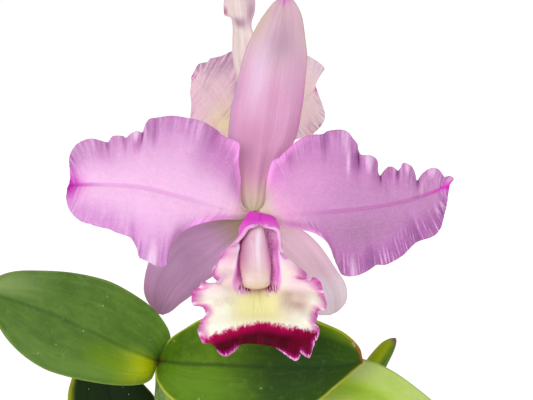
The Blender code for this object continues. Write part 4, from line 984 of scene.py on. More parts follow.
def petal_finish(name, look):
    """Make a petal's finish: long veins, edge pleats in painted shade and highlight, a flushed tip and a pale
    claw.
    """
    paint = Finish(name, **PETAL_SOCKETS)
    band, times = paint.band, paint.times
    span, side, out = paint.mark("span"), paint.mark("side"), paint.mark("to_edge")
    crimp, rib = paint.mark("crimp"), paint.mark("from_rib")
    clouds = paint.noise(paint.place(), 55.0, 4.0, 0.55)
    speckle = paint.noise(paint.place(), 420.0, 3.0, 0.6)
    pleats = paint.noise(paint.joined(times(span, look["pleats"]), times(out, 0.05), side), 1.0, 3.5, 0.62)
    veins = paint.streaked(span, 2.2, side, 24.0, 2.0, 0.5)
    left = band(side, 0.1, 0.9)
    right = band(side, -0.1, -0.9)
    near_edge = band(out, look["pleat_reach"], 0.5)
    base = paint.lay(look["base"], look["middle"], span, 0.02, 0.36)
    base = paint.glaze(base, look["left"], left,
                       band(clouds, 0.3, 0.65, look["left_share"] * 0.45, look["left_share"]))
    base = paint.glaze(base, look["right"], right,
                       band(clouds, 0.3, 0.65, look["right_share"] * 0.45, look["right_share"]))
    base = paint.patch(base, (span, side), look["patches"])
    # Painted shade in the pleats' valleys near the edge, and painted highlights on their crests.
    folded = times(near_edge, band(pleats, 0.46, 0.6))
    folded = times(folded, band(span, 0.14, 0.32))
    shade = band(side, -0.15, 0.15, look["right_pleat"], look["left_pleat"])
    base = paint.glaze(base, look["shade"], folded, shade)
    lit = times(times(near_edge, band(pleats, 0.47, 0.39)), times(shade, look["lit_share"]))
    lit = times(lit, band(span, 0.1, 0.26))
    base = paint.mix(lit, base, look["light"])
    # Painted highlights on the crimps' crests and raised folds, and painted shade in their dips and sunken
    # folds.
    base = paint.glaze(base, look["light"], near_edge, band(crimp, 0.15, 0.8, 0.0, 0.22))
    base = paint.glaze(base, look["shade"], near_edge, band(crimp, -0.1, -0.8, 0.0, 0.28))
    base = paint.lay(base, look["shade"], paint.mark("fold"), -0.15, -0.9, 0.5)
    base = paint.lay(base, look["light"], paint.mark("fold"), 0.15, 0.9, 0.5)
    base = paint.lay(base, look["shade"], veins, 0.48, 0.72, look["vein_share"])
    base = paint.lay(base, look["light"], veins, 0.5, 0.28, look["vein_share"])
    base = paint.lay(base, look["shade"], speckle, 0.45, 0.7, 0.1)
    grain = paint.noise(paint.place(), 1900.0, 2.0, 0.7)
    base = paint.lay(base, look["light"], grain, 0.5, 0.68, 0.14)
    base = paint.lay(base, look["shade"], grain, 0.5, 0.32, 0.12)
    rib_line = times(band(rib, 1.4, 0.2), band(span, 0.06, 0.5))
    base = paint.glaze(base, look["line"], rib_line, look["line_share"])
    groove = times(paint.near(rib, 0.5, 0.55, 0.05), band(span, 0.2, 0.5))
    base = paint.glaze(base, look["line"], groove, times(look["line_share"], 0.7))
    stripe = times(band(rib, look["stripe"], 0.0), band(span, look["stripe_start"], 0.97))
    base = paint.glaze(base, look["tip"], stripe, look["stripe_share"])
    wander = paint.shifted(span, pleats, 0.3, 0.7, 0.015)
    haze = times(band(wander, look["tip_start"] - 0.06, 1.0), band(rib, look["tip_width"] * 1.9, 0.0))
    base = paint.glaze(base, look["haze"], haze, 0.9)
    tip = times(band(wander, look["tip_start"], 0.995), band(rib, look["tip_width"], 0.0))
    base = paint.mix(tip, base, look["tip"])
    flush = times(band(out, look["flush_reach"], 0.2), times(band(span, 0.06, 0.12), band(span, 0.36, 0.2)))
    base = paint.glaze(base, look["flush_tone"], flush, look["flush"])
    claw = band(paint.shifted(span, veins, 0.3, 0.7, 0.02), look["claw_end"], 0.01)
    base = paint.mix(claw, base, look["claw"])
    base = paint.glaze(base, look["back"], paint.mark("underside"), 0.45)
    normal = paint.relief(times(pleats, near_edge), 0.001, 0.5)
    normal = paint.relief(speckle, 0.00012, 0.5, normal)
    normal = paint.relief(grain, 0.0001, 0.6, normal)
    return paint.finish(base, normal)


def sepal_finish(name, look):
    """Make a sepal's finish: long veins, soft patches, a tan-green foot and edge line."""
    paint = Finish(name, **PETAL_SOCKETS)
    band, times = paint.band, paint.times
    span, side, out = paint.mark("span"), paint.mark("side"), paint.mark("to_edge")
    rib = paint.mark("from_rib")
    clouds = paint.noise(paint.stretch(paint.place(), 1.0, 1.0, 0.5), 60.0, 2.0)
    veins = paint.streaked(span, 1.6, side, 22.0, 3.0, 0.65)
    broad = paint.streaked(span, 1.3, side, 5.0, 1.0)
    base = paint.lay(look["base"], look["middle"], span, 0.0, 0.3)
    base = paint.lay(base, look["top"], span, look["top_start"], look["top_start"] + 0.3)
    base = paint.lay(base, look["shade"], broad, 0.45, 0.7, 0.2)
    base = paint.lay(base, look["light"], broad, 0.5, 0.3, 0.2)
    base = paint.patch(base, (span, side), look["patches"])
    base = paint.lay(base, look["shade"], clouds, 0.4, 0.7, 0.25)
    base = paint.lay(base, look["shade"], veins, 0.5, 0.75, look["vein_share"])
    base = paint.lay(base, look["light"], veins, 0.5, 0.25, look["vein_share"])
    line = times(band(rib, 0.8, 0.0), band(span, 0.9, 1.0))
    base = paint.glaze(base, look["line"], line, look["line_share"])
    flush = times(band(span, 0.93, 1.0), band(rib, 4.5, 1.0))
    base = paint.glaze(base, look["tip"], flush, look["tip_share"])
    rim = times(band(out, 0.8, 0.1), band(broad, 0.4, 0.55, 0.2, 0.6))
    base = paint.mix(rim, base, look["rim"])
    base = paint.lay(base, look["foot"], span, look["foot_end"], 0.0)
    base = paint.glaze(base, look["foot"], paint.mark("underside"), 0.4)
    normal = paint.relief(veins, 0.0005, 0.7)
    normal = paint.relief(paint.noise(paint.place(), 1500.0, 2.0), 0.00008, 0.5, normal)
    return paint.finish(base, normal)


def lip_finish(name, tones, dim):
    """Make the lip's finish: cream and yellow, a maroon band, a magenta hood and pink frills."""
    paint = Finish(name, **{**PETAL_SOCKETS, "Specular_IOR_Level": 0.05, "Sheen_Weight": 0.0,
                            "Subsurface_Weight": 0.25, "Subsurface_Scale": 0.0018})
    band, times = paint.band, paint.times
    out, maroon, inside = paint.mark("to_edge"), paint.mark("maroon"), paint.mark("inside")
    hood, side, crimp = paint.mark("hood"), paint.mark("side"), paint.mark("crimp")
    low, over, under = paint.mark("low"), paint.mark("over"), paint.mark("underside")
    inner = paint.maths("SUBTRACT", 1.0, under)
    streaks = paint.streaked(side, 30.0, low, 0.1, 3.0, 0.6)
    fine = paint.streaked(over, 2.6, low, 0.12, 2.0, 0.6)
    teeth_noise = paint.streaked(over, 1.1, low, 0.9, 3.0, 0.7)
    tufts = paint.streaked(over, 0.34, low, 0.05, 3.0, 0.7)
    blotch = paint.noise(paint.place(), 120.0, 3.0)
    from_middle = paint.maths("ABSOLUTE", paint.maths("SUBTRACT", over, LIP_MIDDLE))
    base = paint.lay(tones.lip_cream, dim, blotch, 0.4, 0.7, 0.5)
    rosy = times(band(low, 35.0, 25.0), band(from_middle, 7.0, 11.0))
    base = paint.glaze(base, tint(255, 220, 230), rosy, band(blotch, 0.3, 0.7, 0.95, 0.5))
    base = paint.glaze(base, tint(244, 180, 218), band(low, 21.0, 15.0), 0.8)
    flank = times(band(over, 13.0, 18.0), band(low, 28.0, 22.0))
    base = paint.glaze(base, tint(238, 180, 212), flank, band(blotch, 0.35, 0.65, 0.3, 0.9))
    yellow = times(band(from_middle, 14.0, 4.0), times(band(low, 27.0, 31.0), band(low, 43.5, 37.0)))
    base = paint.glaze(base, tones.lip_yellow, yellow, inner)
    lines = times(band(fine, 0.52, 0.66), band(from_middle, 4.0, 1.5))
    lines = times(lines, times(band(low, 26.0, 28.0), band(low, 40.0, 31.0)))
    base = paint.glaze(base, tint(196, 172, 92), lines, 0.55)
    shadow = times(band(over, 8.0, 15.0), times(band(low, 26.0, 30.0), band(low, 39.0, 33.0)))
    shadow = times(shadow, band(over, 24.0, 18.0))
    base = paint.glaze(base, tint(196, 168, 154), shadow, band(blotch, 0.3, 0.65, 0.6, 1.0))
    warm = times(band(over, -4.0, -9.0), times(band(low, 29.0, 32.0), band(low, 41.0, 36.0)))
    base = paint.glaze(base, tint(222, 200, 176), warm, band(blotch, 0.4, 0.65, 0.0, 0.5))
    pink = band(paint.shifted(out, blotch, 0.3, 0.7, 1.0), 5.6, 1.2)
    base = paint.glaze(base, tones.lip_pink, pink, 0.85)
    edge_line = band(paint.shifted(out, blotch, 0.3, 0.7, 0.5), 2.4, 0.4)
    base = paint.glaze(base, tint(214, 106, 188), edge_line, 0.85)
    # Painted highlight on the frill's curled crests, and painted shade in its dips.
    curl_highlight = times(band(out, 3.2, 0.4), band(crimp, 0.08, 0.4, 0.0, 0.9))
    base = paint.mix(curl_highlight, base, tint(250, 218, 236))
    dip_shade = times(band(out, 3.2, 0.4), band(crimp, -0.05, -0.4, 0.0, 0.85))
    base = paint.mix(dip_shade, base, tint(202, 96, 172))
    ragged = paint.shifted(maroon, tufts, 0.32, 0.68, 0.6)
    ragged = paint.maths("ADD", ragged, band(teeth_noise, 0.35, 0.65, -0.5, 0.45))
    ragged = paint.shifted(ragged, fine, 0.3, 0.7, 0.12)
    dark = band(ragged, -0.6, 0.6)
    flush = band(ragged, -1.4, 0.2)
    base = paint.glaze(base, tint(204, 60, 150), flush, 0.7)
    rich = paint.lay(tones.lip_maroon, tint(182, 0, 80), maroon, 4.2, 0.2)
    rich = paint.lay(rich, tint(126, 0, 42), tufts, 0.45, 0.62, 0.3)
    rich = paint.lay(rich, tint(70, 0, 18), fine, 0.45, 0.7, 0.3)
    right_flap = band(over, 12.0, 18.0)
    rich = paint.glaze(rich, tint(118, 0, 44), right_flap, 0.5)
    ragged_out = paint.shifted(out, fine, 0.3, 0.7, 0.5)
    glow = times(band(ragged_out, 2.8, 0.7), band(from_middle, 6.0, 10.0))
    rich = paint.glaze(rich, tint(184, 24, 132), glow, 0.75)
    fringe = times(band(ragged_out, 0.95, 0.5), band(from_middle, 6.0, 9.0))
    rich = paint.glaze(rich, tint(240, 176, 220), fringe, band(over, 5.0, 14.0, 0.5, 0.95))
    base = paint.mix(dark, base, rich)
    # The throat walls' pinks are partly their own lilac and partly painted light, paler as if lit through the
    # thin walls.
    walls = paint.lay(tones.lip_throat, tint(255, 206, 244), streaks, 0.4, 0.62)
    walls = paint.lay(walls, tint(255, 140, 236), inside, 3.4, 0.8, 0.7)
    walls = paint.lay(walls, tint(250, 216, 240), low, 22.0, 29.0, 0.6)
    walls = paint.glaze(walls, tint(255, 206, 240), band(low, 13.0, 6.0), band(over, 1.0, 5.0))
    veined = times(band(streaks, 0.5, 0.6), band(inside, 2.4, 4.2))
    walls = paint.glaze(walls, tint(190, 80, 164), veined, 0.3)
    dots = paint.noise(paint.joined(times(over, 1.4), low), 1.0, 2.0, 0.6)
    dotted = times(band(dots, 0.52, 0.6), times(band(inside, 1.6, 2.6), band(low, 27.0, 22.0)))
    walls = paint.glaze(walls, tint(196, 70, 170), dotted, 0.55)
    teeth = times(band(low, 25.5, 27.2), band(fine, 0.47, 0.53))
    walls = paint.glaze(walls, tint(132, 6, 60), teeth, band(from_middle, 8.0, 6.5))
    ending = paint.shifted(low, fine, 0.35, 0.65, 1.3)
    throat = times(band(inside, -0.4, 0.6), band(ending, 30.2, 29.0))
    throat = times(throat, paint.maths("MAXIMUM", band(low, 28.2, 27.2), band(from_middle, 2.2, 3.4)))
    base = paint.glaze(base, walls, throat, inner)
    crest = times(band(paint.maths("ABSOLUTE", paint.maths("ADD", inside, 0.25)), 0.8, 0.1),
                  band(low, 26.0, 22.0))
    base = paint.glaze(base, tint(255, 232, 244), times(crest, inner), 0.8)
    outside = paint.lay(tones.lip_pink, tones.lip_magenta, hood, 0.02, 0.7)
    outside = paint.glaze(outside, tint(232, 110, 212), band(blotch, 0.4, 0.6),
                          band(low, 2.0, 5.5, 0.3, 0.8))
    outside = paint.lay(outside, tones.petal_pale, low, 12.0, 24.0)
    outside = paint.lay(outside, tint(190, 60, 140), low, 36.0, 44.0)
    base = paint.glaze(base, outside, under, 0.95)
    base = paint.lay(base, tint(246, 190, 232), paint.mark("tube_rim"), 2.2, 0.2, 0.7)
    normal = paint.relief(streaks, 0.0004, 0.5)
    normal = paint.relief(blotch, 0.0006, 0.4, normal)
    return paint.finish(base, normal)


def column_finish(name, tones):
    """Make the column's waxy finish: a lit stripe, shaded sides and a cream lower end."""
    paint = Finish(name, Roughness=0.34, Subsurface_Weight=0.15, Subsurface_Scale=0.002, Coat_Weight=0.15,
                   Coat_Roughness=0.25)
    parts = paint.parts(paint.vector("skin"))
    streaks = paint.noise(paint.stretch(paint.vector("skin"), 0.06, 1.2, 1.2), 1.0, 2.0)
    mottle = paint.noise(paint.place(), 500.0, 3.0)
    sides = paint.band(paint.maths("ABSOLUTE", paint.maths("ADD", parts[1], -0.8)), 1.4, 5.0)
    base = paint.mix(sides, tones.column_pale, tones.column_shade)
    base = paint.lay(base, tones.column_shade, streaks, 0.45, 0.7, 0.3)
    stripe = paint.near(parts[1], 1.2, 1.3, 0.2)
    base = paint.glaze(base, tint(255, 238, 246), stripe, 0.8)
    base = paint.lay(base, tint(236, 206, 202), parts[0], 18.0, 30.0, 0.7)
    base = paint.glaze(base, tones.column_cap, paint.band(parts[0], 24.0, 31.0),
                       paint.band(mottle, 0.4, 0.6, 0.4, 1.0))
    normal = paint.relief(streaks, 0.0003, 0.4)
    normal = paint.relief(paint.times(mottle, paint.band(parts[0], 22.0, 29.0)), 0.0005, 0.6, normal)
    return paint.finish(base, normal)


def cap_finish(name, tones):
    """Make the finish of the cap at the column's end."""
    paint = Finish(name, Roughness=0.45, Subsurface_Weight=0.2, Subsurface_Scale=0.002,
                   Specular_IOR_Level=0.2)
    cells = paint.noise(paint.place(), 700.0, 3.0)
    reach = paint.parts(paint.vector("skin"))[0]
    base = paint.lay(tint(236, 206, 202), tones.column_cap, reach, 2.4, 5.4)
    base = paint.lay(base, tint(228, 200, 186), cells, 0.4, 0.62, 0.4)
    return paint.finish(base, paint.relief(cells, 0.0005, 0.6))


def leaf_finish(name, look):
    """Make a leaf's finish: fine veins, cloudy greens, a midrib darkened with painted shade, a rim and faint
    water marks.
    """
    paint = Finish(name, Roughness=0.5, Coat_Weight=0.015, Coat_Roughness=0.25, Specular_IOR_Level=0.08)
    band, times = paint.band, paint.times
    span, side, out, rib = (paint.mark(key) for key in ("span", "side", "to_edge", "from_rib"))
    clouds = paint.noise(paint.place(), 38.0, 4.0)
    mottle = paint.noise(paint.place(), 260.0, 4.0, 0.65)
    veins = paint.streaked(span, 3.0, side, 60.0, 2.0, 0.6)
    base = paint.lay(look["near"], look["far"], span, look["turn"], look["turn"] + 0.45)
    base = paint.lay(base, look["cloud"], clouds, 0.38, 0.68, 0.55)
    base = paint.lay(base, look["cloud"], mottle, 0.42, 0.7, 0.4)
    base = paint.lay(base, look["near"], mottle, 0.5, 0.3, 0.3)
    base = paint.patch(base, (span, side), look["patches"])
    base = paint.lay(base, look["dark"], veins, 0.5, 0.75, 0.16)
    # Painted shade along the creased midrib.
    base = paint.lay(base, look["dark"], rib, 1.6, 0.1, look["rib_shade_share"])
    rim = band(paint.shifted(out, clouds, 0.3, 0.7, 0.4), look["rim_width"], 0.1)
    base = paint.glaze(base, look["rim"], rim, look["rim_share"])
    if "tip" in look:
        wander = paint.shifted(span, clouds, 0.3, 0.7, 0.01)
        reach = times(band(out, look["tip_width"], 0.2), band(wander, look["tip_start"], 0.97))
        reach = times(reach, band(side, -0.6, 0.2, 0.12, 1.0))
        base = paint.mix(reach, base, look["tip"])
    stains = paint.noise(paint.place(), 330.0, 3.0, 0.6, 1.2)
    base = paint.lay(base, tint(150, 172, 116), stains, 0.58, 0.72, look["stain_share"])
    wash = paint.streaked(span, 5.0, side, 9.0, 3.0, 0.6)
    base = paint.lay(base, look["cloud"], wash, 0.5, 0.7, 0.22)
    base = paint.lay(base, look["wash"], wash, 0.5, 0.3, 0.16)
    spots = paint.noise(paint.place(), 420.0, 2.0)
    base = paint.lay(base, tint(205, 220, 190), spots, 0.735, 0.77, 0.5)
    base = paint.glaze(base, look["under"], paint.mark("underside"), 0.5)
    rough = band(mottle, 0.35, 0.7, 0.36, 0.52)
    normal = paint.relief(veins, 0.0004, 0.5)
    normal = paint.relief(mottle, 0.0002, 0.4, normal)
    return paint.finish(base, normal, rough)


def stem_finish(name, base_tone, streak_tone, rough=0.5, end=None, end_tone=None):
    """Make a smooth stem's finish with lengthwise streaks, and another tone past its end length."""
    paint = Finish(name, Roughness=rough, Subsurface_Weight=0.08, Subsurface_Scale=0.002)
    streaks = paint.noise(paint.stretch(paint.vector("skin"), 0.05, 0.9, 0.9), 1.0, 4.0, 0.6)
    mottle = paint.noise(paint.place(), 120.0, 3.0)
    base = paint.lay(base_tone, streak_tone, streaks, 0.38, 0.66)
    base = paint.lay(base, streak_tone, mottle, 0.45, 0.75, 0.4)
    if end:
        reach = paint.parts(paint.vector("skin"))[0]
        base = paint.lay(base, end_tone, reach, end - 3.0, end + 1.0)
    return paint.finish(base, paint.relief(streaks, 0.0004, 0.6))


def shoot_finish(name):
    """Make the young shoot's finish: green, yellower on its face partly as painted light, with a purple-brown
    tip.
    """
    paint = Finish(name, Roughness=0.45, Coat_Weight=0.03, Coat_Roughness=0.3, Specular_IOR_Level=0.15)
    parts = paint.parts(paint.vector("skin"))
    streaks = paint.noise(paint.stretch(paint.vector("skin"), 0.05, 1.1, 1.1), 1.0, 3.0)
    base = paint.lay(tint(66, 104, 12), tint(88, 122, 24), streaks, 0.35, 0.65)
    # Yellower on one face: partly the shoot's own colour and partly painted light on its lit side.
    base = paint.glaze(base, tint(152, 168, 14), paint.band(parts[0], 52.0, 76.0),
                       paint.band(parts[1], -1.5, 2.0))
    base = paint.lay(base, tint(124, 88, 88), paint.shifted(parts[0], streaks, 0.3, 0.7, 0.8), 81.5, 83.0)
    return paint.finish(base, paint.relief(streaks, 0.0004, 0.5))


def sheath_finish(name, tones):
    """Make the dry, papery sheath's finish."""
    paint = Finish(name, Roughness=0.7, Sheen_Weight=0.2)
    span, side = paint.mark("span"), paint.mark("side")
    fibres = paint.streaked(span, 1.2, side, 30.0, 4.0, 0.7)
    clouds = paint.noise(paint.place(), 120.0, 3.0)
    base = paint.lay(tones.sheath, tint(150, 122, 78), fibres, 0.35, 0.68)
    base = paint.lay(base, tint(222, 208, 172), clouds, 0.45, 0.7, 0.6)
    base = paint.lay(base, tint(120, 88, 52), span, 0.86, 1.0, 0.7)
    return paint.finish(base, paint.relief(fibres, 0.0006, 0.8))


def root_finish(name, tones):
    """Make the roots' finish: white spongy skin, greener where it is thin."""
    paint = Finish(name, Roughness=0.85)
    mottle = paint.noise(paint.place(), 240.0, 4.0)
    base = paint.lay(tones.root_white, tint(150, 148, 104), mottle, 0.4, 0.66)
    base = paint.lay(base, tint(120, 96, 62), paint.noise(paint.place(), 60.0), 0.5, 0.7, 0.7)
    return paint.finish(base, paint.relief(mottle, 0.0005, 0.6))


def bark_finish(name, tones, varied):
    """Make the finish of bark, fibrous and uneven, and different from chip to chip."""
    paint = Finish(name, Roughness=0.88)
    fibre = paint.noise(paint.stretch(paint.place(), 1.0, 1.0, 2.6), 190.0, 5.0, 0.65, 0.6)
    cracks = paint.noise(paint.place(), 620.0, 4.0, 0.6)
    chip = paint.mark("chip") if varied else paint.noise(paint.place(), 70.0)
    base = paint.lay(tones.bark_dark, tones.bark_light, fibre, 0.36, 0.66)
    base = paint.lay(base, tint(118, 70, 42), chip, 0.45, 1.0, 0.7)
    base = paint.lay(base, tint(52, 33, 24), chip, 0.35, 0.0, 0.75)
    base = paint.lay(base, tint(38, 24, 18), cracks, 0.55, 0.7, 0.6)
    base = paint.lay(base, tint(176, 134, 94), cracks, 0.34, 0.26, 0.5)
    normal = paint.relief(fibre, 0.0016, 0.9)
    normal = paint.relief(cracks, 0.0006, 0.7, normal)
    return paint.finish(base, normal)


def clay_finish(name, tones):
    """Make fired clay with lime bloom, turning lines and a darker band near the foot."""
    paint = Finish(name, Roughness=0.85)
    place = paint.place()
    clouds = paint.noise(place, 22.0, 4.0, 0.6)
    grains = paint.noise(place, 900.0, 4.0, 0.7)
    turning = paint.noise(paint.stretch(place, 2.0, 2.0, 900.0), 1.0, 2.0)
    height = paint.parts(place)[2]
    base = paint.lay(tones.pot_clay, tint(160, 82, 54), grains, 0.35, 0.7, 0.45)
    base = paint.lay(base, tint(206, 124, 86), turning, 0.4, 0.65, 0.25)
    bloom = paint.times(paint.band(clouds, 0.46, 0.68), paint.band(grains, 0.3, 0.6, 0.5, 1.0))
    base = paint.glaze(base, tones.pot_bloom, bloom, 0.6)
    foot = paint.shifted(height, clouds, 0.3, 0.7, 0.012)
    base = paint.lay(base, tint(128, 70, 50), foot, 0.03, 0.004, 0.45)
    normal = paint.relief(turning, 0.0006, 0.5)
    normal = paint.relief(grains, 0.0004, 0.6, normal)
    return paint.finish(base, normal)


def floor_finish():
    """Make the plain pale floor."""
    paint = Finish("pale floor", Roughness=0.9, Specular_IOR_Level=0.1, Emission_Color=(1.0, 1.0, 1.0, 1.0),
                   Emission_Strength=0.3)
    clouds = paint.noise(paint.place(), 3.0, 2.0)
    return paint.finish(paint.lay((0.95, 0.95, 0.95), (0.96, 0.96, 0.96), clouds, 0.3, 0.7))


# Making


def sheet_thickness(marks, middle, rim, rib_gain=0.0):
    """Return the thickness of a blade, thin at its edge and thicker at its midrib."""
    grown = step_up(marks["to_edge"], 0.0, 9.0)
    return (rim + (middle - rim) * grown + rib_gain * bump_at(marks["from_rib"], 0.0, 2.0) * grown) / MM


def pot_inner(height):
    """Return the pot's inner radius at a height."""
    return POT_BASE_RADIUS + (POT_TOP_RADIUS - POT_BASE_RADIUS) * height / POT_HEIGHT - POT_WALL


def add_blade(name, form, cells, thickness, finish, slot_name, node, **shaping):
    """Add a petal, sepal or leaf. Its thickness is that of the middle, the rim and the midrib's gain."""
    points, marks = blade(form, *cells, **shaping)
    mesh = shell(name, points, marks, sheet_thickness(marks, *thickness), seen)
    return add_piece(name, mesh, finish, slot_name, node)


def make_pot(tones):
    """Make the pot with its collar, turning lines and drain holes."""
    foot = POT_HEIGHT - POT_RIM_HEIGHT
    outline = [(0.0, POT_FLOOR), (8.0, POT_FLOOR), (pot_inner(POT_FLOOR) - 1.0, POT_FLOOR)]
    outline += [(pot_inner(height), height)
                for height in np.linspace(POT_FLOOR + 1.5, POT_HEIGHT - 0.8, 14)]
    for turn in np.linspace(0.0, 90.0, 5):
        over, up = math.cos(math.radians(turn)), math.sin(math.radians(turn))
        outline.append((pot_inner(POT_HEIGHT) + POT_MOUTH_ROUND - POT_MOUTH_ROUND * over,
                        POT_HEIGHT - POT_MOUTH_ROUND + POT_MOUTH_ROUND * up))
    for turn in np.linspace(90.0, 0.0, 6):
        over, up = math.cos(math.radians(turn)), math.sin(math.radians(turn))
        outline.append((POT_RIM_RADIUS - POT_RIM_ROUND + POT_RIM_ROUND * over,
                        POT_HEIGHT - POT_RIM_ROUND + POT_RIM_ROUND * up))
    outline += [(POT_RIM_RADIUS - 0.8 * share,
                 POT_HEIGHT - 2.0 - 16.6 * share) for share in np.linspace(0.1, 1.0, 7)]
    outline += [(POT_RIM_RADIUS - 1.1, foot + 0.6), (POT_RIM_RADIUS - 1.9, foot),
                (pot_inner(foot) + POT_WALL + 1.0, foot), (pot_inner(foot) + POT_WALL + 0.2, foot - 0.4),
                (pot_inner(foot) + POT_WALL, foot - 1.2)]
    outline += [(pot_inner(height) + POT_WALL, height) for height in np.linspace(foot - 4.0, 3.0, 24)]
    outline += [(POT_BASE_RADIUS + 0.1, 1.2), (POT_BASE_RADIUS - 0.4, 0.4), (POT_BASE_RADIUS - 1.4, 0.0),
                (8.0, 0.0), (0.0, 0.0)]

    def ripple(radii, heights, angles):
        outer = step_up(radii, 36.0, 39.0) * step_up(heights, 2.0, 6.0)
        lines = 0.16 * np.sin(heights * 1.9 + 0.4 * np.sin(angles))
        lines = lines + 0.1 * np.sin(2 * angles + heights * 0.05)
        return radii + lines * outer, heights

    pot = new_object("pot_body", turned("clay_pot", outline, POT_SIDES, ripple))
    bm = bmesh.new()
    for index in range(DRAIN_HOLES):
        angle = 2.0 * math.pi * (index + 0.5) / DRAIN_HOLES
        middle = Vector((DRAIN_HOLE_RING * math.cos(angle), DRAIN_HOLE_RING * math.sin(angle),
                         POT_FLOOR / 2.0))
        bmesh.ops.create_cone(bm, cap_ends=True, segments=24, radius1=DRAIN_HOLE_RADIUS * MM,
                              radius2=DRAIN_HOLE_RADIUS * MM, depth=(POT_FLOOR + 2.0) * MM,
                              matrix=Matrix.Translation(middle * MM))
    drill = new_object("drain_holes", new_mesh("drain_holes", bm))
    cut = pot.modifiers.new("Drain holes", "BOOLEAN")
    cut.operation = "DIFFERENCE"
    cut.object = drill
    cut.solver = "EXACT"
    mesh = evaluated_mesh(pot)
    bpy.data.objects.remove(drill)
    mesh.shade_smooth()
    add_piece("clay_pot", mesh, clay_finish("fired clay", tones), "pot", "pot")


def chip_tree(finish):
    """Return the node tree that scatters bark chips over a disc."""
    tree = bpy.data.node_groups.new("Bark chips", "GeometryNodeTree")
    face = tree.interface
    face.new_socket("Geometry", in_out="INPUT", socket_type="NodeSocketGeometry")
    for name, kind, default in (("Chip Length", "NodeSocketFloat", 0.015),
                                ("Chip Spacing", "NodeSocketFloat", 0.005),
                                ("Roughness", "NodeSocketFloat", 0.0035), ("Seed", "NodeSocketInt", 4)):
        face.new_socket(name, in_out="INPUT", socket_type=kind).default_value = default
    face.new_socket("Geometry", in_out="OUTPUT", socket_type="NodeSocketGeometry")

    def node(kind, inputs=(), **settings):
        made = tree.nodes.new(kind)
        for key, value in settings.items():
            setattr(made, key, value)
        for key, value in dict(inputs).items():
            if isinstance(value, bpy.types.NodeSocket):
                tree.links.new(value, made.inputs[key])
            else:
                made.inputs[key].default_value = value
        return made

    given = node("NodeGroupInput").outputs
    seed = given["Seed"]
    spread = node("GeometryNodeDistributePointsOnFaces",
                  {"Mesh": given["Geometry"], "Seed": seed, "Distance Min": given["Chip Spacing"],
                   "Density Max": CHIP_DENSITY}, distribute_method="POISSON")
    sizes = node("ShaderNodeVectorMath", {0: CHIP_SHAPE, "Scale": given["Chip Length"]},
                 operation="SCALE")
    chip = node("GeometryNodeMeshCube", {"Size": sizes.outputs[0], "Vertices X": 4, "Vertices Y": 3,
                                         "Vertices Z": 2})
    turn = node("FunctionNodeRandomValue", {0: CHIP_TURNS[0], 1: CHIP_TURNS[1], "Seed": seed},
                data_type="FLOAT_VECTOR")
    grow = node("FunctionNodeRandomValue", {0: CHIP_GROWTH[0], 1: CHIP_GROWTH[1], "Seed": 9},
                data_type="FLOAT_VECTOR")
    placed = node("GeometryNodeInstanceOnPoints", {"Points": spread.outputs[0], "Instance": chip.outputs[0],
                  "Rotation": turn.outputs[0], "Scale": grow.outputs[0]})
    shade = node("FunctionNodeRandomValue", {"Seed": 3}, data_type="FLOAT")
    named = node("GeometryNodeStoreNamedAttribute", {"Geometry": placed.outputs[0], "Name": "chip",
                 "Value": shade.outputs[1]}, data_type="FLOAT", domain="INSTANCE")
    whole = node("GeometryNodeRealizeInstances", {"Geometry": named.outputs[0]})
    rough = node("ShaderNodeTexNoise", {"Scale": 150.0, "Detail": 2.0})
    centred = node("ShaderNodeVectorMath", {0: rough.outputs["Color"], 1: (0.5, 0.5, 0.5)},
                   operation="SUBTRACT")
    shift = node("ShaderNodeVectorMath", {0: centred.outputs[0], "Scale": given["Roughness"]},
                 operation="SCALE")
    moved = node("GeometryNodeSetPosition", {"Geometry": whole.outputs[0], "Offset": shift.outputs[0]})
    again = node("GeometryNodeRealizeInstances", {"Geometry": moved.outputs[0]})
    painted = node("GeometryNodeSetMaterial", {"Geometry": again.outputs[0], "Material": finish})
    node("NodeGroupOutput", {"Geometry": painted.outputs[0]})
    return tree


def make_bark(sizes, tones):
    """Make the bed of bark and the loose chips on it."""
    top = BARK_LEVEL + 0.6
    outline = [(0.0, top)] + [(radius, top) for radius in np.linspace(1.5, pot_inner(BARK_LEVEL) - 1.0, 34)]
    outline += [(pot_inner(BARK_LEVEL) - 0.4, BARK_LEVEL - 0.8),
                (pot_inner(POT_FLOOR + 1.5) - 0.4, POT_FLOOR + 1.8),
                (pot_inner(POT_FLOOR) - 1.4, POT_FLOOR + 0.3), (2.0, POT_FLOOR + 0.3),
                (0.0, POT_FLOOR + 0.3)]

    def ripple(radii, heights, angles):
        x, y = radii * np.cos(angles), radii * np.sin(angles)
        rough = np.sin(x * 0.61 + 1.1) * np.sin(y * 0.57)
        rough = rough + 0.6 * np.sin(x * 1.31 - y * 0.9) * np.sin(y * 1.23 + 2.0)
        return radii, heights + 0.7 * rough * step_up(heights, BARK_LEVEL, BARK_LEVEL + 0.5) - 0.4

    bed = turned("bark_bed", outline, BARK_SIDES, ripple)
    add_piece("bark_bed", bed, bark_finish("packed bark", tones, False), "bark", "bark_medium")

    finish = bark_finish("bark chips", tones, True)
    bm = bmesh.new()
    bmesh.ops.create_circle(bm, cap_ends=True, segments=48, radius=BARK_RING * MM,
                            matrix=Matrix.Translation((0.0, 0.0, (BARK_LEVEL + 1.6) * MM)))
    disc = new_object("bark_surface", new_mesh("bark_surface", bm))
    scatter = disc.modifiers.new("Bark chips", "NODES")
    scatter.node_group = chip_tree(finish)
    sockets = {item.name: item.identifier for item in scatter.node_group.interface.items_tree
               if item.item_type == "SOCKET" and item.in_out == "INPUT"}
    scatter[sockets["Chip Length"]] = sizes.chip_length
    scatter[sockets["Chip Spacing"]] = sizes.chip_spacing
    scatter[sockets["Seed"]] = BARK_SEED
    mesh = evaluated_mesh(disc)
    mesh.name = "bark_chips"
    add_piece("bark_chips", mesh, finish, "bark", "bark_medium")


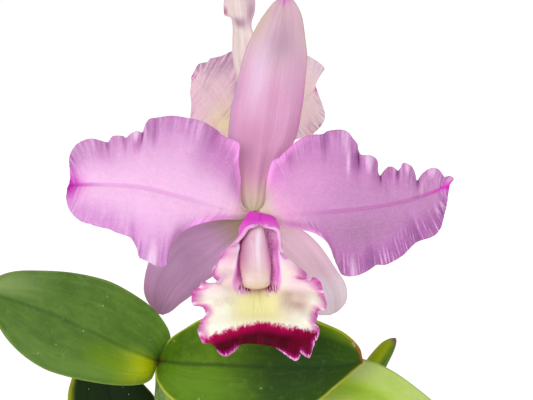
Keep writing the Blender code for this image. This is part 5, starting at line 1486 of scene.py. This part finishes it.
def make_rhizome(tones):
    """Make the creeping stem and its roots."""
    path = [(x, y, RHIZOME_Z) for x, y in RHIZOME_PATH]
    shares = np.linspace(0.0, 1.0, RINGS["rhizome"])

    def joints(share, angle):
        ends = 1.0 - 0.55 * (step_up(share, 0.06, 0.0) + step_up(share, 0.94, 1.0))
        return ends * (1.0 + 0.07 * np.cos(2 * math.pi * share * 13) + 0.02 * np.cos(6 * angle))

    rings, skin = tube(path, shares, (RHIZOME_RADIUS,) * 2, sides=SIDES["rhizome"], flute=joints,
                       facing=(0, 0, 1))
    mesh = closed_tube("rhizome_stem", rings, skin, upright)
    add_piece("rhizome_stem", mesh, stem_finish("rhizome skin", tint(128, 112, 62), tint(92, 74, 44), 0.7),
              "rhizome", "rhizome")
    finish = root_finish("root skin", tones)
    for index, path in enumerate(ROOT_PATHS):
        heights = np.interp(np.linspace(0, 1, len(path)), *zip(*ROOT_HEIGHTS))
        places = [(x, y, z) for (x, y), z in zip(path, heights)]
        shares = np.linspace(0.0, 1.0, RINGS["root"])

        def knobs(share, angle, index=index):
            return (1.0 + 0.1 * np.sin(share * 31 + index) * np.sin(share * 17) + 0.03 * np.cos(3 * angle)
                    - 0.4 * step_up(share, 0.93, 1.0))

        rings, skin = tube(places, shares, (ROOT_RADIUS * 1.1, ROOT_RADIUS * 1.15), sides=SIDES["root"],
                           flute=knobs, facing=(0, 0, 1))
        rings[..., 2] += 0.5 * np.sin(shares * 14 + index)[:, None]
        add_piece(f"root_{index + 1}", closed_tube(f"root_{index + 1}", rings, skin, upright), finish,
                  "rhizome", "rhizome")


def make_pseudobulbs(tones):
    """Make the three fluted pseudobulbs with their dry sheaths."""
    finish = stem_finish("pseudobulb skin", tones.stem_green, tint(86, 112, 44), 0.45)
    paper = sheath_finish("dry sheath", tones)
    for key, foot in PSEUDOBULB_FEET.items():
        girth = PSEUDOBULB_GIRTH[key]
        top = seen(PSEUDOBULB_APEXES[key]) / MM
        base = np.array((*foot, RHIZOME_Z + RHIZOME_RADIUS + 0.4))
        lean = math.acos((top - base)[2] / np.linalg.norm(top - base))
        base[2] += girth * PSEUDOBULB_PROFILE[0][1] * math.sin(lean)
        marks, radii = zip(*PSEUDOBULB_PROFILE)
        shares = np.linspace(0.0, 1.0, RINGS["bulb"])
        widths = smooth_curve(np.array(radii)[:, None] * girth, np.array(marks, dtype=float), shares)[:, 0]

        def flutes(share, angle, key=key):
            strength = 0.055 * step_up(share, 0.12, 0.4) * (1.0 - 0.6 * step_up(share, 0.85, 1.0))
            ring = 0.03 * bump_at(share, 0.2, 0.012) + 0.03 * bump_at(share, 0.46, 0.01)
            ends = 1.0 - 0.5 * step_up(share, 0.985, 1.0) - 0.3 * step_up(share, 0.012, 0.0)
            return ends * (1.0 + ring + strength * (0.7 * np.cos(9 * angle + 2 * share)
                           + 0.5 * np.cos(5 * angle + ord(key))) - 0.04 * step_up(share, 0.1, 0.4))

        rings, skin = tube((base, top), shares, widths, sides=SIDES["bulb"], flute=flutes)
        mesh = closed_tube("bulb_" + key, rings, skin, upright)
        add_piece("bulb_" + key, mesh, finish, "stem", "pseudobulb_" + key)

        ahead = (top - base) / np.linalg.norm(top - base)
        over = np.cross(TUBE_FACING, ahead)
        over /= np.linalg.norm(over)
        front = np.cross(ahead, over)
        for number, (low, high) in enumerate(SHEATH_LEVELS):
            rows, columns = SHEATH_CELLS
            share = np.linspace(0.0, 1.0, rows + 1)[:, None]
            angle = np.linspace(-0.93, 0.93, columns + 1)[None, :] * math.pi + 0.9 + 2.4 * number
            ragged = 1.0 - (0.1 + 0.06 * number) * (np.abs(np.linspace(-1, 1, columns + 1))[None, :] ** 2)
            ragged = ragged - 0.025 * np.sin(angle * 9 + number) - 0.015 * np.sin(angle * 23)
            level = low + (high - low) * share * ragged
            spread = np.interp(level, shares, widths) * 0.99 + 0.35 + 0.3 * number
            spread = spread + 0.9 * share ** 6 + 0.22 * np.sin(angle * 11) * share
            middle = base + ahead * (np.linalg.norm(top - base) * level)[..., None]
            points = (middle + over * (spread * np.cos(angle))[..., None]
                      + front * (spread * np.sin(angle))[..., None])
            marks_here = {"span": share + 0.0 * angle,
                          "side": np.linspace(-1, 1, columns + 1)[None, :] + 0.0 * share}
            name = f"sheath_{key}_{number + 1}"
            wrap = shell(name, points, marks_here, np.full(points.shape[:2], 0.35), upright)
            add_piece(name, wrap, paper, "stem")


def make_shoot():
    """Make the young shoot, with a groove down its face."""
    shares = np.linspace(0.0, 1.0, RINGS["shoot"])
    marks, radii = (np.array(values, dtype=float) for values in zip(*SHOOT_PROFILE))
    radii = smooth_curve(radii[:, None], marks, shares)[:, 0]

    def folded(share, angle):
        groove = 0.16 * bump_at(np.mod(angle - 1.3 + math.pi, 2 * math.pi) - math.pi, 0.0, 0.35)
        return 1.0 - groove * step_up(share, 0.3, 0.7) + 0.02 * np.cos(5 * angle)

    rings, skin = tube(SHOOT_PATH, shares, radii, radii * 0.86, sides=SIDES["shoot"], flute=folded)
    mesh = closed_tube("new_shoot", rings, skin, upright)
    add_piece("new_shoot", mesh, shoot_finish("young shoot"), "stem", "young_shoot")


def make_stem(tones):
    """Make the flower stem and the rear flower's stalk."""
    finish = stem_finish("flower stem", tint(150, 166, 96), tones.stem_green, 0.45, 72.0,
                         tint(204, 190, 134))
    for name, path, radii in (("stem_main", STEM_PATH, STEM_RADII),
                              ("stem_rear", REAR_STEM_PATH, REAR_STEM_RADII)):
        def grooves(share, angle):
            ends = 1.0 - 0.35 * step_up(share, 0.99, 1.0)
            return ends * (1.0 + 0.06 * np.cos(6 * angle) * step_up(share, 0.35, 0.6))

        places = seen(path) / MM
        rings, skin = tube(places, np.linspace(0.0, 1.0, RINGS["stem"]), radii, sides=SIDES["stem"],
                           flute=grooves)
        add_piece(name, closed_tube(name, rings, skin, upright), finish, "stem", "flower_stem")


def make_leaves(sizes, tones):
    """Make the four leaves, each with a creased midrib."""
    looks = {
        "left": (LEFT_LEAF, "left_leaf", "leaf", {
            "near": tint(90, 128, 30), "far": tint(88, 120, 48), "cloud": tint(62, 94, 32),
            "dark": tint(48, 82, 32), "under": tint(140, 160, 90), "rim": tint(150, 168, 84), "turn": 0.1,
            "rib_shade_share": 0.45, "rim_width": 1.0, "rim_share": 0.3, "stain_share": 0.14,
            "wash": tint(124, 158, 70), "patches": ((0.13, 0.42, 0.19, 0.75, tint(196, 208, 0), 1.0),
                (0.28, 0.45, 0.24, 0.6, tint(108, 142, 26), 0.85),
                (0.22, -0.3, 0.3, 0.5, tint(66, 98, 34), 0.6),
                (0.5, 0.8, 0.4, 0.35, tint(108, 142, 62), 0.6),
                # A painted glossy highlight on the upper side near the tip.
                (0.95, -0.6, 0.34, 0.7, tint(132, 154, 92), 0.9),
                (0.02, 0.0, 0.03, 0.8, tint(112, 84, 34), 0.8))}),
        "centre": (CENTRE_LEAF, "centre_leaf", "leaf", {
            "near": tint(98, 134, 22), "far": tint(38, 68, 4), "cloud": tint(52, 86, 12),
            "dark": tint(32, 58, 20), "under": tint(120, 145, 80), "rim": tones.leaf_rim, "turn": 0.2,
            "rib_shade_share": 0.6, "rim_width": 1.5, "rim_share": 0.85, "stain_share": 0.07,
            "wash": tint(82, 116, 24), "tip": tones.leaf_tip, "tip_width": 2.2, "tip_start": 0.84,
            "patches": ((0.25, -0.45, 0.35, 0.7, tint(98, 138, 34), 0.9),
                (0.75, -0.2, 0.3, 0.9, tint(40, 66, 30), 0.8),
                (0.68, 0.5, 0.25, 0.45, tint(36, 66, 16), 0.8),
                (0.85, 0.95, 0.22, 0.3, tint(112, 144, 8), 0.8),
                (0.02, 0.0, 0.04, 0.8, tint(120, 92, 40), 0.8))}),
        # The light leaf's pale yellow-greens are partly its own and partly painted light shining through it.
        "light": (LIGHT_LEAF, "light_leaf", "light_leaf", {
            "near": tint(184, 210, 98), "far": tint(196, 216, 130), "cloud": tint(172, 200, 78),
            "dark": tint(150, 180, 84), "under": tint(170, 190, 110), "rim": tint(150, 170, 90),
            "turn": 0.3, "rib_shade_share": 0.35, "rim_width": 0.8, "rim_share": 0.5, "stain_share": 0.1,
            "wash": tint(204, 220, 140), "patches": ((0.42, 0.05, 0.3, 0.45, tint(150, 186, 30), 1.0),
                # A painted glossy highlight near the upper edge.
                (0.3, 0.7, 0.25, 0.4, tint(212, 226, 160), 0.8))}),
        # The dark leaf's near-black greens are painted shade of a leaf that lies low, in shade.
        "dark": (SHADED_LEAF, "dark_leaf", "dark_leaf", {
            "near": tint(12, 32, 4), "far": tint(22, 44, 8), "cloud": tint(16, 38, 6),
            "dark": tint(10, 26, 6), "under": tint(70, 92, 50), "rim": tint(150, 160, 30), "turn": 0.2,
            "rib_shade_share": 0.5, "rim_width": 1.2, "rim_share": 0.6, "stain_share": 0.0,
            "wash": tint(34, 58, 14), "patches": ((0.45, 1.0, 0.5, 0.2, tint(158, 166, 24), 0.9),)}),
    }
    for index, (key, (form, node, slot_name, look)) in enumerate(looks.items()):
        add_blade("leaf_" + key, form, LEAF_CELLS, (sizes.leaf_thickness, sizes.leaf_rim, LEAF_RIB_GAIN),
                  leaf_finish("leaf " + key, look), slot_name, node, crimps=LEAF_CRIMPS, crease=LEAF_CREASE,
                  seed=30 + index)


def sepal_look(tones, **changes):
    """Return a sepal's colours and its soft patches."""
    look = {"base": tones.sepal_mauve, "middle": tones.sepal_pink, "top": tones.sepal_pale,
            "top_start": 0.55, "shade": tones.sepal_mauve, "light": tones.petal_pale,
            "rim": tones.sepal_green, "line": tones.petal_tip, "line_share": 0.0, "tip": tones.sepal_pink,
            "tip_share": 0.0, "foot": tones.sepal_green, "foot_end": 0.12, "vein_share": 0.24,
            "patches": ()}
    look.update(changes)
    return look


def make_sepals(sizes, tones):
    """Make the three sepals of the open flower."""
    parts = {
        "dorsal": (DORSAL_SEPAL, "front_dorsal_sepal", DORSAL_CELLS, sepal_look(
            tones, base=tint(224, 160, 188), middle=tint(220, 160, 198), top=tint(222, 192, 200),
            top_start=0.5, shade=tint(204, 144, 184), light=tint(238, 196, 226), line_share=0.8,
            tip=tint(242, 120, 220), tip_share=0.8, foot=tint(214, 198, 172), foot_end=0.2, vein_share=0.13,
            patches=(
                (0.33, 0.1, 0.14, 0.9, tint(202, 138, 170), 0.5),
                # Painted highlight where the sepal curves towards the light.
                (0.62, 0.38, 0.28, 0.5, tint(236, 204, 232), 0.8),
                # Painted shadow where its upper part leans forward.
                (0.77, -0.25, 0.16, 0.9, tint(188, 158, 176), 0.85),
                (0.5, -1.0, 0.3, 0.14, tint(206, 104, 186), 0.7),
                (0.6, -0.7, 0.2, 0.5, tint(212, 166, 198), 0.6),
                (0.45, 1.0, 0.35, 0.22, tint(196, 156, 204), 0.7),
                (0.85, 0.9, 0.12, 0.4, tint(206, 186, 160), 0.7),
                (0.17, 0.2, 0.12, 0.9, tint(206, 150, 172), 0.5)))),
        # The left lateral sepal's darker colours are painted shade of a sepal turned from the light.
        "left_lateral": (LEFT_LATERAL_SEPAL, "front_left_lateral_sepal", LATERAL_CELLS, sepal_look(
            tones, base=tint(176, 146, 134), middle=tint(196, 150, 188), top=tint(196, 146, 188),
            shade=tint(172, 128, 168), light=tint(220, 180, 214), rim=tint(206, 160, 200),
            foot=tint(160, 142, 112), foot_end=0.3)),
        # The right lateral sepal's pale colours are painted light, raised against its shading.
        "right_lateral": (RIGHT_LATERAL_SEPAL, "front_right_lateral_sepal", LATERAL_CELLS, sepal_look(
            tones, base=tint(232, 208, 200), middle=tint(244, 208, 224), top=tint(255, 240, 252),
            shade=tint(236, 194, 218), light=tint(255, 236, 250), rim=tint(240, 196, 222),
            foot=tint(206, 190, 150), patches=((0.75, -0.6, 0.3, 0.6, tint(252, 204, 236), 0.5),))),
    }
    for index, (key, (form, node, cells, look)) in enumerate(parts.items()):
        add_blade("sepal_" + key, form, cells, (sizes.petal_thickness, sizes.petal_rim, SEPAL_RIB_GAIN),
                  sepal_finish("sepal " + key.replace("_", " "), look), "sepal", node, crimps=SEPAL_CRIMPS,
                  crease=SEPAL_CREASE, ridges=SEPAL_RIDGES, seed=60 + index)


def petal_look(tones, **changes):
    """Return a petal's colours, how strongly painted shade and highlight mark its pleats, and its flush."""
    look = {"base": tint(244, 200, 228), "middle": tones.petal_pale, "left": tones.petal_pink,
        "right": tones.petal_pink, "left_share": 0.6, "right_share": 0.6, "light": tint(255, 226, 250),
        "shade": tones.petal_shade, "tip": tones.petal_tip, "claw": tones.petal_claw,
        "back": tint(228, 190, 214), "pleats": 76.0, "pleat_reach": 11.0, "left_pleat": 0.5,
        "right_pleat": 0.5, "stripe": 1.6, "stripe_start": 0.78, "stripe_share": 0.7, "tip_start": 0.9,
        "tip_width": 6.5, "line": tint(222, 156, 214), "line_share": 0.3, "flush": 0.95,
        "flush_reach": 4.0, "claw_end": 0.13, "haze": tint(214, 88, 198),
        "flush_tone": tint(255, 168, 244), "vein_share": 0.035, "lit_share": 0.7, "patches": ()}
    look.update(changes)
    return look


def make_petals(sizes, tones):
    """Make the two ruffled petals of the open flower."""
    crimp = sizes.crimp_height / MM
    parts = {
        "left": (LEFT_PETAL, "front_left_petal",
            LEFT_PETAL_FOLDS, petal_look(
                # The mauve right tone over the upper half is partly the petal's own colour and partly painted
                # shade.
                tones, right=tint(202, 138, 196), left=tint(210, 146, 208), left_share=0.95,
                right_share=1.0, right_pleat=0.5, left_pleat=0.3, flush_reach=6.0, line_share=0.6,
                tip_width=7.5, lit_share=0.35, patches=(
                    # Painted shade beside the lower lobe's tuck and along its crease.
                    (0.4, 0.9, 0.1, 0.45, tint(194, 124, 184), 0.85),
                    (0.46, 0.95, 0.012, 0.5, tint(176, 112, 176), 0.7),
                    # Painted shade in two folds of the upper edge.
                    (0.555, -0.8, 0.022, 0.3, tint(176, 96, 168), 0.8),
                    (0.64, -0.8, 0.022, 0.3, tint(176, 96, 168), 0.8),
                    # Mauve near the tip and on the upper half, partly the petal's own and partly painted
                    # shade.
                    (0.88, -0.9, 0.12, 0.4, tint(182, 136, 184), 0.7),
                    (0.27, -0.8, 0.18, 0.6, tint(196, 120, 184), 0.95)))),
        "right": (RIGHT_PETAL, "front_right_petal",
            RIGHT_PETAL_FOLDS, petal_look(
                # The right petal's colours and its lower middle patch are darker than the left petal's, as
                # painted shade of a petal turned from the light.
                tones, middle=tint(196, 138, 188), base=tint(246, 184, 226), left=tint(202, 132, 192),
                right=tint(170, 96, 164), left_share=0.85, right_share=1.0, light=tint(246, 208, 244),
                shade=tint(162, 92, 162), tip=tint(226, 20, 196), left_pleat=0.45, right_pleat=0.95,
                lit_share=0.6, pleats=105.0, stripe=0.9, stripe_start=0.82, stripe_share=1.0,
                tip_start=0.955, tip_width=2.4, line=tint(186, 96, 168), line_share=0.45,
                claw=tint(232, 214, 196), claw_end=0.15, patches=(
                    (0.5, -0.35, 0.28, 0.4, tint(170, 120, 160), 0.85),
                    (0.3, 0.35, 0.2, 0.5, tint(222, 156, 210), 0.6),
                    # Painted shade in the tuck of the upper edge, and painted highlights on the fold edges
                    # beside it.
                    (0.485, 0.75, 0.028, 0.35, tint(150, 78, 144), 0.85),
                    (0.455, 0.65, 0.014, 0.3, tint(246, 208, 244), 0.7),
                    (0.56, 0.85, 0.02, 0.25, tint(236, 190, 236), 0.6),
                    (0.16, 0.9, 0.1, 0.5, tint(228, 130, 214), 0.7)))),
    }
    for index, (key, (form, node, folds, look)) in enumerate(parts.items()):
        add_blade("petal_" + key, form, PETAL_CELLS, (sizes.petal_thickness, sizes.petal_rim),
                  petal_finish("petal " + key, look), "petal", node,
                  crimps=PETAL_CRIMPS + ((crimp, *PETAL_FINEST),), folds=folds, crease=PETAL_CREASE,
                  seed=80 + 10 * index)


def make_lips(sizes, tones):
    """Make the frilled lips of both flowers."""
    finish = lip_finish("lip", tones, tint(242, 228, 210))
    for key, cells, place, gain in (("front", LIP_CELLS, seen, LIP_TUBE_GAIN),
                                    ("rear", REAR_LIP_CELLS, rear, 0.0)):
        points, marks = lip(*cells, sizes.frill_height / MM)
        thick = sizes.petal_rim / MM + 0.3 * step_up(marks["to_edge"], 0.5, 5.0)
        thick = thick + gain * step_up(marks["tube_rim"], 1.8, 0.6)
        add_piece("lip_" + key, shell("lip_" + key, points, marks, thick, place), finish, "lip",
                  key + "_lip")


def make_columns(tones):
    """Make the columns of both flowers, each with the cap at its end."""
    finish = column_finish("column", tones)
    cap = cap_finish("column cap", tones)
    shares = np.linspace(0.0, 1.0, RINGS["column"])

    def club(share, angle):
        ends = np.sqrt(1.0 - step_up(share, 0.93, 1.0) ** 2) - 1e-3
        keel = 0.05 * bump_at(np.mod(angle - math.pi / 2 + math.pi, 2 * math.pi) - math.pi, 0.0, 0.4)
        return np.clip(ends, 0.02, 1.0) * (1.0 + keel - 0.03 * np.cos(4 * angle))

    for key, place in (("front", seen), ("rear", rear)):
        rings, skin = tube(COLUMN_LINE, shares, COLUMN_HALF_WIDTHS, COLUMN_HALF_DEPTHS, sides=SIDES["column"],
                           flute=club, facing=COLUMN_OUTWARD)
        mesh = closed_tube("column_" + key, rings, skin, place)
        add_piece("column_" + key, mesh, finish, "column", key + "_column")
        mouth = np.linspace(0.0, 1.0, RINGS["cap"])

        def dome(share, angle):
            ragged = 0.05 * np.cos(17 * angle) + 0.05 * np.cos(7 * angle + 1.0)
            teeth = 1.0 + ragged * step_up(share, 0.6, 0.92)
            return np.sqrt(np.clip(1.0 - np.abs(2 * share - 1.0) ** 3, 0.0004, 1.0)) * teeth

        rings, skin = tube(CAP_LINE, mouth, CAP_HALF_WIDTHS, CAP_HALF_DEPTHS, sides=SIDES["cap"], flute=dome,
                           facing=COLUMN_OUTWARD)
        add_piece(f"column_{key}_cap", closed_tube(f"column_{key}_cap", rings, skin, place), cap, "column")


def make_rear_flower(sizes, tones):
    """Make the tepals of the flower behind, which turns its back to the viewer."""
    crimp = sizes.crimp_height / MM
    thickness = (sizes.petal_thickness, sizes.petal_rim)
    back = tint(214, 176, 192)
    petals = {
        "left": (REAR_LEFT_PETAL, "rear_left_petal", petal_look(
            tones, base=tint(226, 206, 160), middle=tint(234, 200, 210), left=tint(240, 196, 216),
            right=tint(204, 162, 190), right_share=1.0, left_share=0.7, light=tint(246, 218, 232),
            shade=tint(176, 132, 164), claw=tint(222, 208, 150), right_pleat=0.9, left_pleat=0.15,
            pleats=24.0, pleat_reach=17.0, stripe_share=0.0, line_share=0.0, tip_start=0.99, flush=0.0,
            vein_share=0.12, back=back, haze=tint(226, 150, 200), patches=(
                (0.3, 0.2, 0.3, 0.8, tint(232, 218, 166), 0.9),
                (0.45, 1.0, 0.15, 0.25, tint(236, 168, 212), 0.8),
                (0.8, -0.8, 0.3, 0.6, tint(208, 168, 194), 0.8)))),
        "right": (REAR_RIGHT_PETAL, "rear_right_petal", petal_look(
            tones, base=tint(246, 222, 206), middle=tint(252, 222, 222), left=tint(250, 228, 240),
            right=tint(250, 220, 232), light=tint(255, 244, 248), shade=tint(212, 172, 192),
            claw=tint(222, 204, 164), patches=((0.6, -1.0, 0.03, 0.14, tint(110, 0, 40), 1.0),
                (0.75, 0.9, 0.2, 0.6, tint(240, 220, 232), 0.7)),
            left_pleat=0.3, right_pleat=0.9, pleats=30.0, pleat_reach=7.0, stripe_share=0.0, line_share=0.0,
            tip=tint(232, 40, 192), tip_start=0.93, tip_width=3.0, flush=0.0, vein_share=0.1,
            haze=tint(240, 150, 210))),
    }
    for index, (key, (form, node, look)) in enumerate(petals.items()):
        add_blade("rear_petal_" + key, form, REAR_PETAL_CELLS, thickness,
                  petal_finish("rear petal " + key, look), "petal", node,
                  crimps=REAR_PETAL_CRIMPS + ((crimp * REAR_CRIMP_SHARE, *REAR_PETAL_FINEST),),
                  crease=REAR_PETAL_CREASE, seed=120 + 10 * index)
    sepals = {
        "dorsal": (REAR_DORSAL_SEPAL, sepal_look(
            tones, base=tint(250, 230, 220), middle=tint(255, 240, 234), top=tint(214, 174, 192),
            top_start=0.76, shade=tint(208, 172, 190), light=tint(252, 238, 228), rim=tint(226, 180, 206),
            patches=(
                (0.78, -0.75, 0.16, 0.6, tint(186, 148, 172), 1.0),
                # Painted shade of the fold across the sepal.
                (0.71, 0.2, 0.06, 1.0, tint(188, 148, 174), 0.95),
                (0.86, 0.3, 0.12, 0.7, tint(252, 236, 228), 0.8),
                (0.79, 1.0, 0.05, 0.3, tint(176, 10, 120), 1.0)))),
        "left_lateral": (REAR_LEFT_LATERAL_SEPAL, sepal_look(tones, middle=back)),
        "right_lateral": (REAR_RIGHT_LATERAL_SEPAL, sepal_look(tones, middle=back)),
    }
    for index, (key, (form, look)) in enumerate(sepals.items()):
        add_blade("rear_sepal_" + key, form, REAR_SEPAL_CELLS, thickness,
                  sepal_finish("rear sepal " + key.replace("_", " "), look), "sepal", f"rear_{key}_sepal",
                  crimps=REAR_SEPAL_CRIMPS, crease=REAR_SEPAL_CREASE, ridges=REAR_SEPAL_RIDGES,
                  seed=150 + index)


# Stage


def add_light(name, place, size, power, warmth):
    """Add a soft square light that looks at the flowers."""
    data = bpy.data.lights.new(name, "AREA")
    data.shape = "SQUARE"
    data.size = size
    data.energy = power
    data.color = warmth
    lamp = new_object(name, data)
    lamp.location = place
    lamp.rotation_euler = (Vector(LIGHT_TARGET) - Vector(place)).to_track_quat("-Z", "Y").to_euler()


def make_stage():
    """Make the floor, the soft light and the camera."""
    scene = bpy.context.scene
    bm = bmesh.new()
    bmesh.ops.create_grid(bm, x_segments=8, y_segments=8, size=FLOOR_SIZE)
    floor = new_object("floor", new_mesh("floor", bm))
    floor.data.materials.append(floor_finish())

    world = bpy.data.worlds.new("soft white room")
    world.use_nodes = True
    sky = world.node_tree.nodes["Background"]
    sky.inputs["Color"].default_value = WHITE
    sky.inputs["Strength"].default_value = SKY_STRENGTH
    backdrop = world.node_tree.nodes.new("ShaderNodeBackground")
    backdrop.inputs["Strength"].default_value = 1.0
    backdrop.inputs["Color"].default_value = WHITE
    rays = world.node_tree.nodes.new("ShaderNodeLightPath")
    choice = world.node_tree.nodes.new("ShaderNodeMixShader")
    join = world.node_tree.links.new
    join(rays.outputs["Is Camera Ray"], choice.inputs[0])
    join(sky.outputs[0], choice.inputs[1])
    join(backdrop.outputs[0], choice.inputs[2])
    join(choice.outputs[0], world.node_tree.nodes["World Output"].inputs["Surface"])
    scene.world = world
    for light in LIGHTS:
        add_light(*light)

    camera_data = bpy.data.cameras.new("viewer")
    camera_data.sensor_fit = "HORIZONTAL"
    camera_data.sensor_width = SENSOR_WIDTH
    camera_data.lens = SENSOR_WIDTH * VIEW_DISTANCE / VIEW_WIDTH
    camera_data.clip_start = 0.01
    camera = new_object("viewer", camera_data)
    camera.location = Vector((FLOWER_AT + FLOWER_X * VIEW_CENTRE[0] + FLOWER_Y * VIEW_CENTRE[1]
                              + FLOWER_Z * VIEW_DISTANCE) * MM)
    camera.rotation_euler = (math.pi / 2 - VIEW_TILT, 0.0, 0.0)
    scene.camera = camera
    scene.view_settings.view_transform = "Standard"
    scene.view_settings.look = "None"


# Operators


class ORCHID_OT_pot(bpy.types.Operator):
    """Make the clay pot"""

    bl_idname = "orchid.pot"
    bl_label = "Pot"

    def execute(self, context):
        make_pot(context.scene.orchid_colours)
        return {"FINISHED"}


class ORCHID_OT_bark(bpy.types.Operator):
    """Fill the pot with bark"""

    bl_idname = "orchid.bark"
    bl_label = "Bark"

    def execute(self, context):
        make_bark(context.scene.orchid_sizes, context.scene.orchid_colours)
        return {"FINISHED"}


class ORCHID_OT_rhizome(bpy.types.Operator):
    """Make the rhizome and its roots"""

    bl_idname = "orchid.rhizome"
    bl_label = "Rhizome and roots"

    def execute(self, context):
        make_rhizome(context.scene.orchid_colours)
        return {"FINISHED"}


class ORCHID_OT_pseudobulbs(bpy.types.Operator):
    """Make the pseudobulbs and their sheaths"""

    bl_idname = "orchid.pseudobulbs"
    bl_label = "Pseudobulbs"

    def execute(self, context):
        make_pseudobulbs(context.scene.orchid_colours)
        return {"FINISHED"}


class ORCHID_OT_shoot(bpy.types.Operator):
    """Make the young shoot"""

    bl_idname = "orchid.shoot"
    bl_label = "Young shoot"

    def execute(self, context):
        make_shoot()
        return {"FINISHED"}


class ORCHID_OT_stem(bpy.types.Operator):
    """Make the flower stem and the rear stalk"""

    bl_idname = "orchid.stem"
    bl_label = "Flower stem"

    def execute(self, context):
        make_stem(context.scene.orchid_colours)
        return {"FINISHED"}


class ORCHID_OT_leaves(bpy.types.Operator):
    """Make the four leaves"""

    bl_idname = "orchid.leaves"
    bl_label = "Leaves"

    def execute(self, context):
        make_leaves(context.scene.orchid_sizes, context.scene.orchid_colours)
        return {"FINISHED"}


class ORCHID_OT_sepals(bpy.types.Operator):
    """Make the open flower's sepals"""

    bl_idname = "orchid.sepals"
    bl_label = "Sepals"

    def execute(self, context):
        make_sepals(context.scene.orchid_sizes, context.scene.orchid_colours)
        return {"FINISHED"}


class ORCHID_OT_petals(bpy.types.Operator):
    """Make the open flower's petals"""

    bl_idname = "orchid.petals"
    bl_label = "Petals"

    def execute(self, context):
        make_petals(context.scene.orchid_sizes, context.scene.orchid_colours)
        return {"FINISHED"}


class ORCHID_OT_lips(bpy.types.Operator):
    """Make the lips of both flowers"""

    bl_idname = "orchid.lips"
    bl_label = "Lips"

    def execute(self, context):
        make_lips(context.scene.orchid_sizes, context.scene.orchid_colours)
        return {"FINISHED"}


class ORCHID_OT_columns(bpy.types.Operator):
    """Make the columns of both flowers"""

    bl_idname = "orchid.columns"
    bl_label = "Columns"

    def execute(self, context):
        make_columns(context.scene.orchid_colours)
        return {"FINISHED"}


class ORCHID_OT_rear_flower(bpy.types.Operator):
    """Make the rear flower's petals and sepals"""

    bl_idname = "orchid.rear_flower"
    bl_label = "Rear flower"

    def execute(self, context):
        make_rear_flower(context.scene.orchid_sizes, context.scene.orchid_colours)
        return {"FINISHED"}


class ORCHID_OT_stage(bpy.types.Operator):
    """Make the floor, lights and camera"""

    bl_idname = "orchid.stage"
    bl_label = "Stage"

    def execute(self, context):
        make_stage()
        return {"FINISHED"}


MAKERS = (ORCHID_OT_pot, ORCHID_OT_bark, ORCHID_OT_rhizome, ORCHID_OT_pseudobulbs, ORCHID_OT_shoot,
          ORCHID_OT_stem, ORCHID_OT_leaves, ORCHID_OT_sepals, ORCHID_OT_petals, ORCHID_OT_lips,
          ORCHID_OT_columns, ORCHID_OT_rear_flower, ORCHID_OT_stage)


class ORCHID_PT_panel(bpy.types.Panel):
    """Lists the orchid's operators, sizes and colours"""

    bl_idname = "ORCHID_PT_panel"
    bl_label = "Cattleya orchid"
    bl_space_type = "VIEW_3D"
    bl_region_type = "UI"
    bl_category = "Orchid"

    def draw(self, context):
        for maker in MAKERS:
            self.layout.operator(maker.bl_idname)
        for group in (context.scene.orchid_sizes, context.scene.orchid_colours):
            box = self.layout.box()
            for key in group.__annotations__:
                box.prop(group, key)


CLASSES = (OrchidSizes, OrchidColours) + MAKERS + (ORCHID_PT_panel,)


def register():
    """Register the classes and the settings."""
    for item in CLASSES:
        bpy.utils.register_class(item)
    bpy.types.Scene.orchid_sizes = bpy.props.PointerProperty(type=OrchidSizes)
    bpy.types.Scene.orchid_colours = bpy.props.PointerProperty(type=OrchidColours)


def unregister():
    """Remove the settings and the classes."""
    del bpy.types.Scene.orchid_colours
    del bpy.types.Scene.orchid_sizes
    for item in reversed(CLASSES):
        bpy.utils.unregister_class(item)


def main():
    """Build the orchid."""
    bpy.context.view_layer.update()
    register()
    for maker in MAKERS:
        group, name = maker.bl_idname.split(".")
        getattr(getattr(bpy.ops, group), name)()


if __name__ == "__main__":
    main()
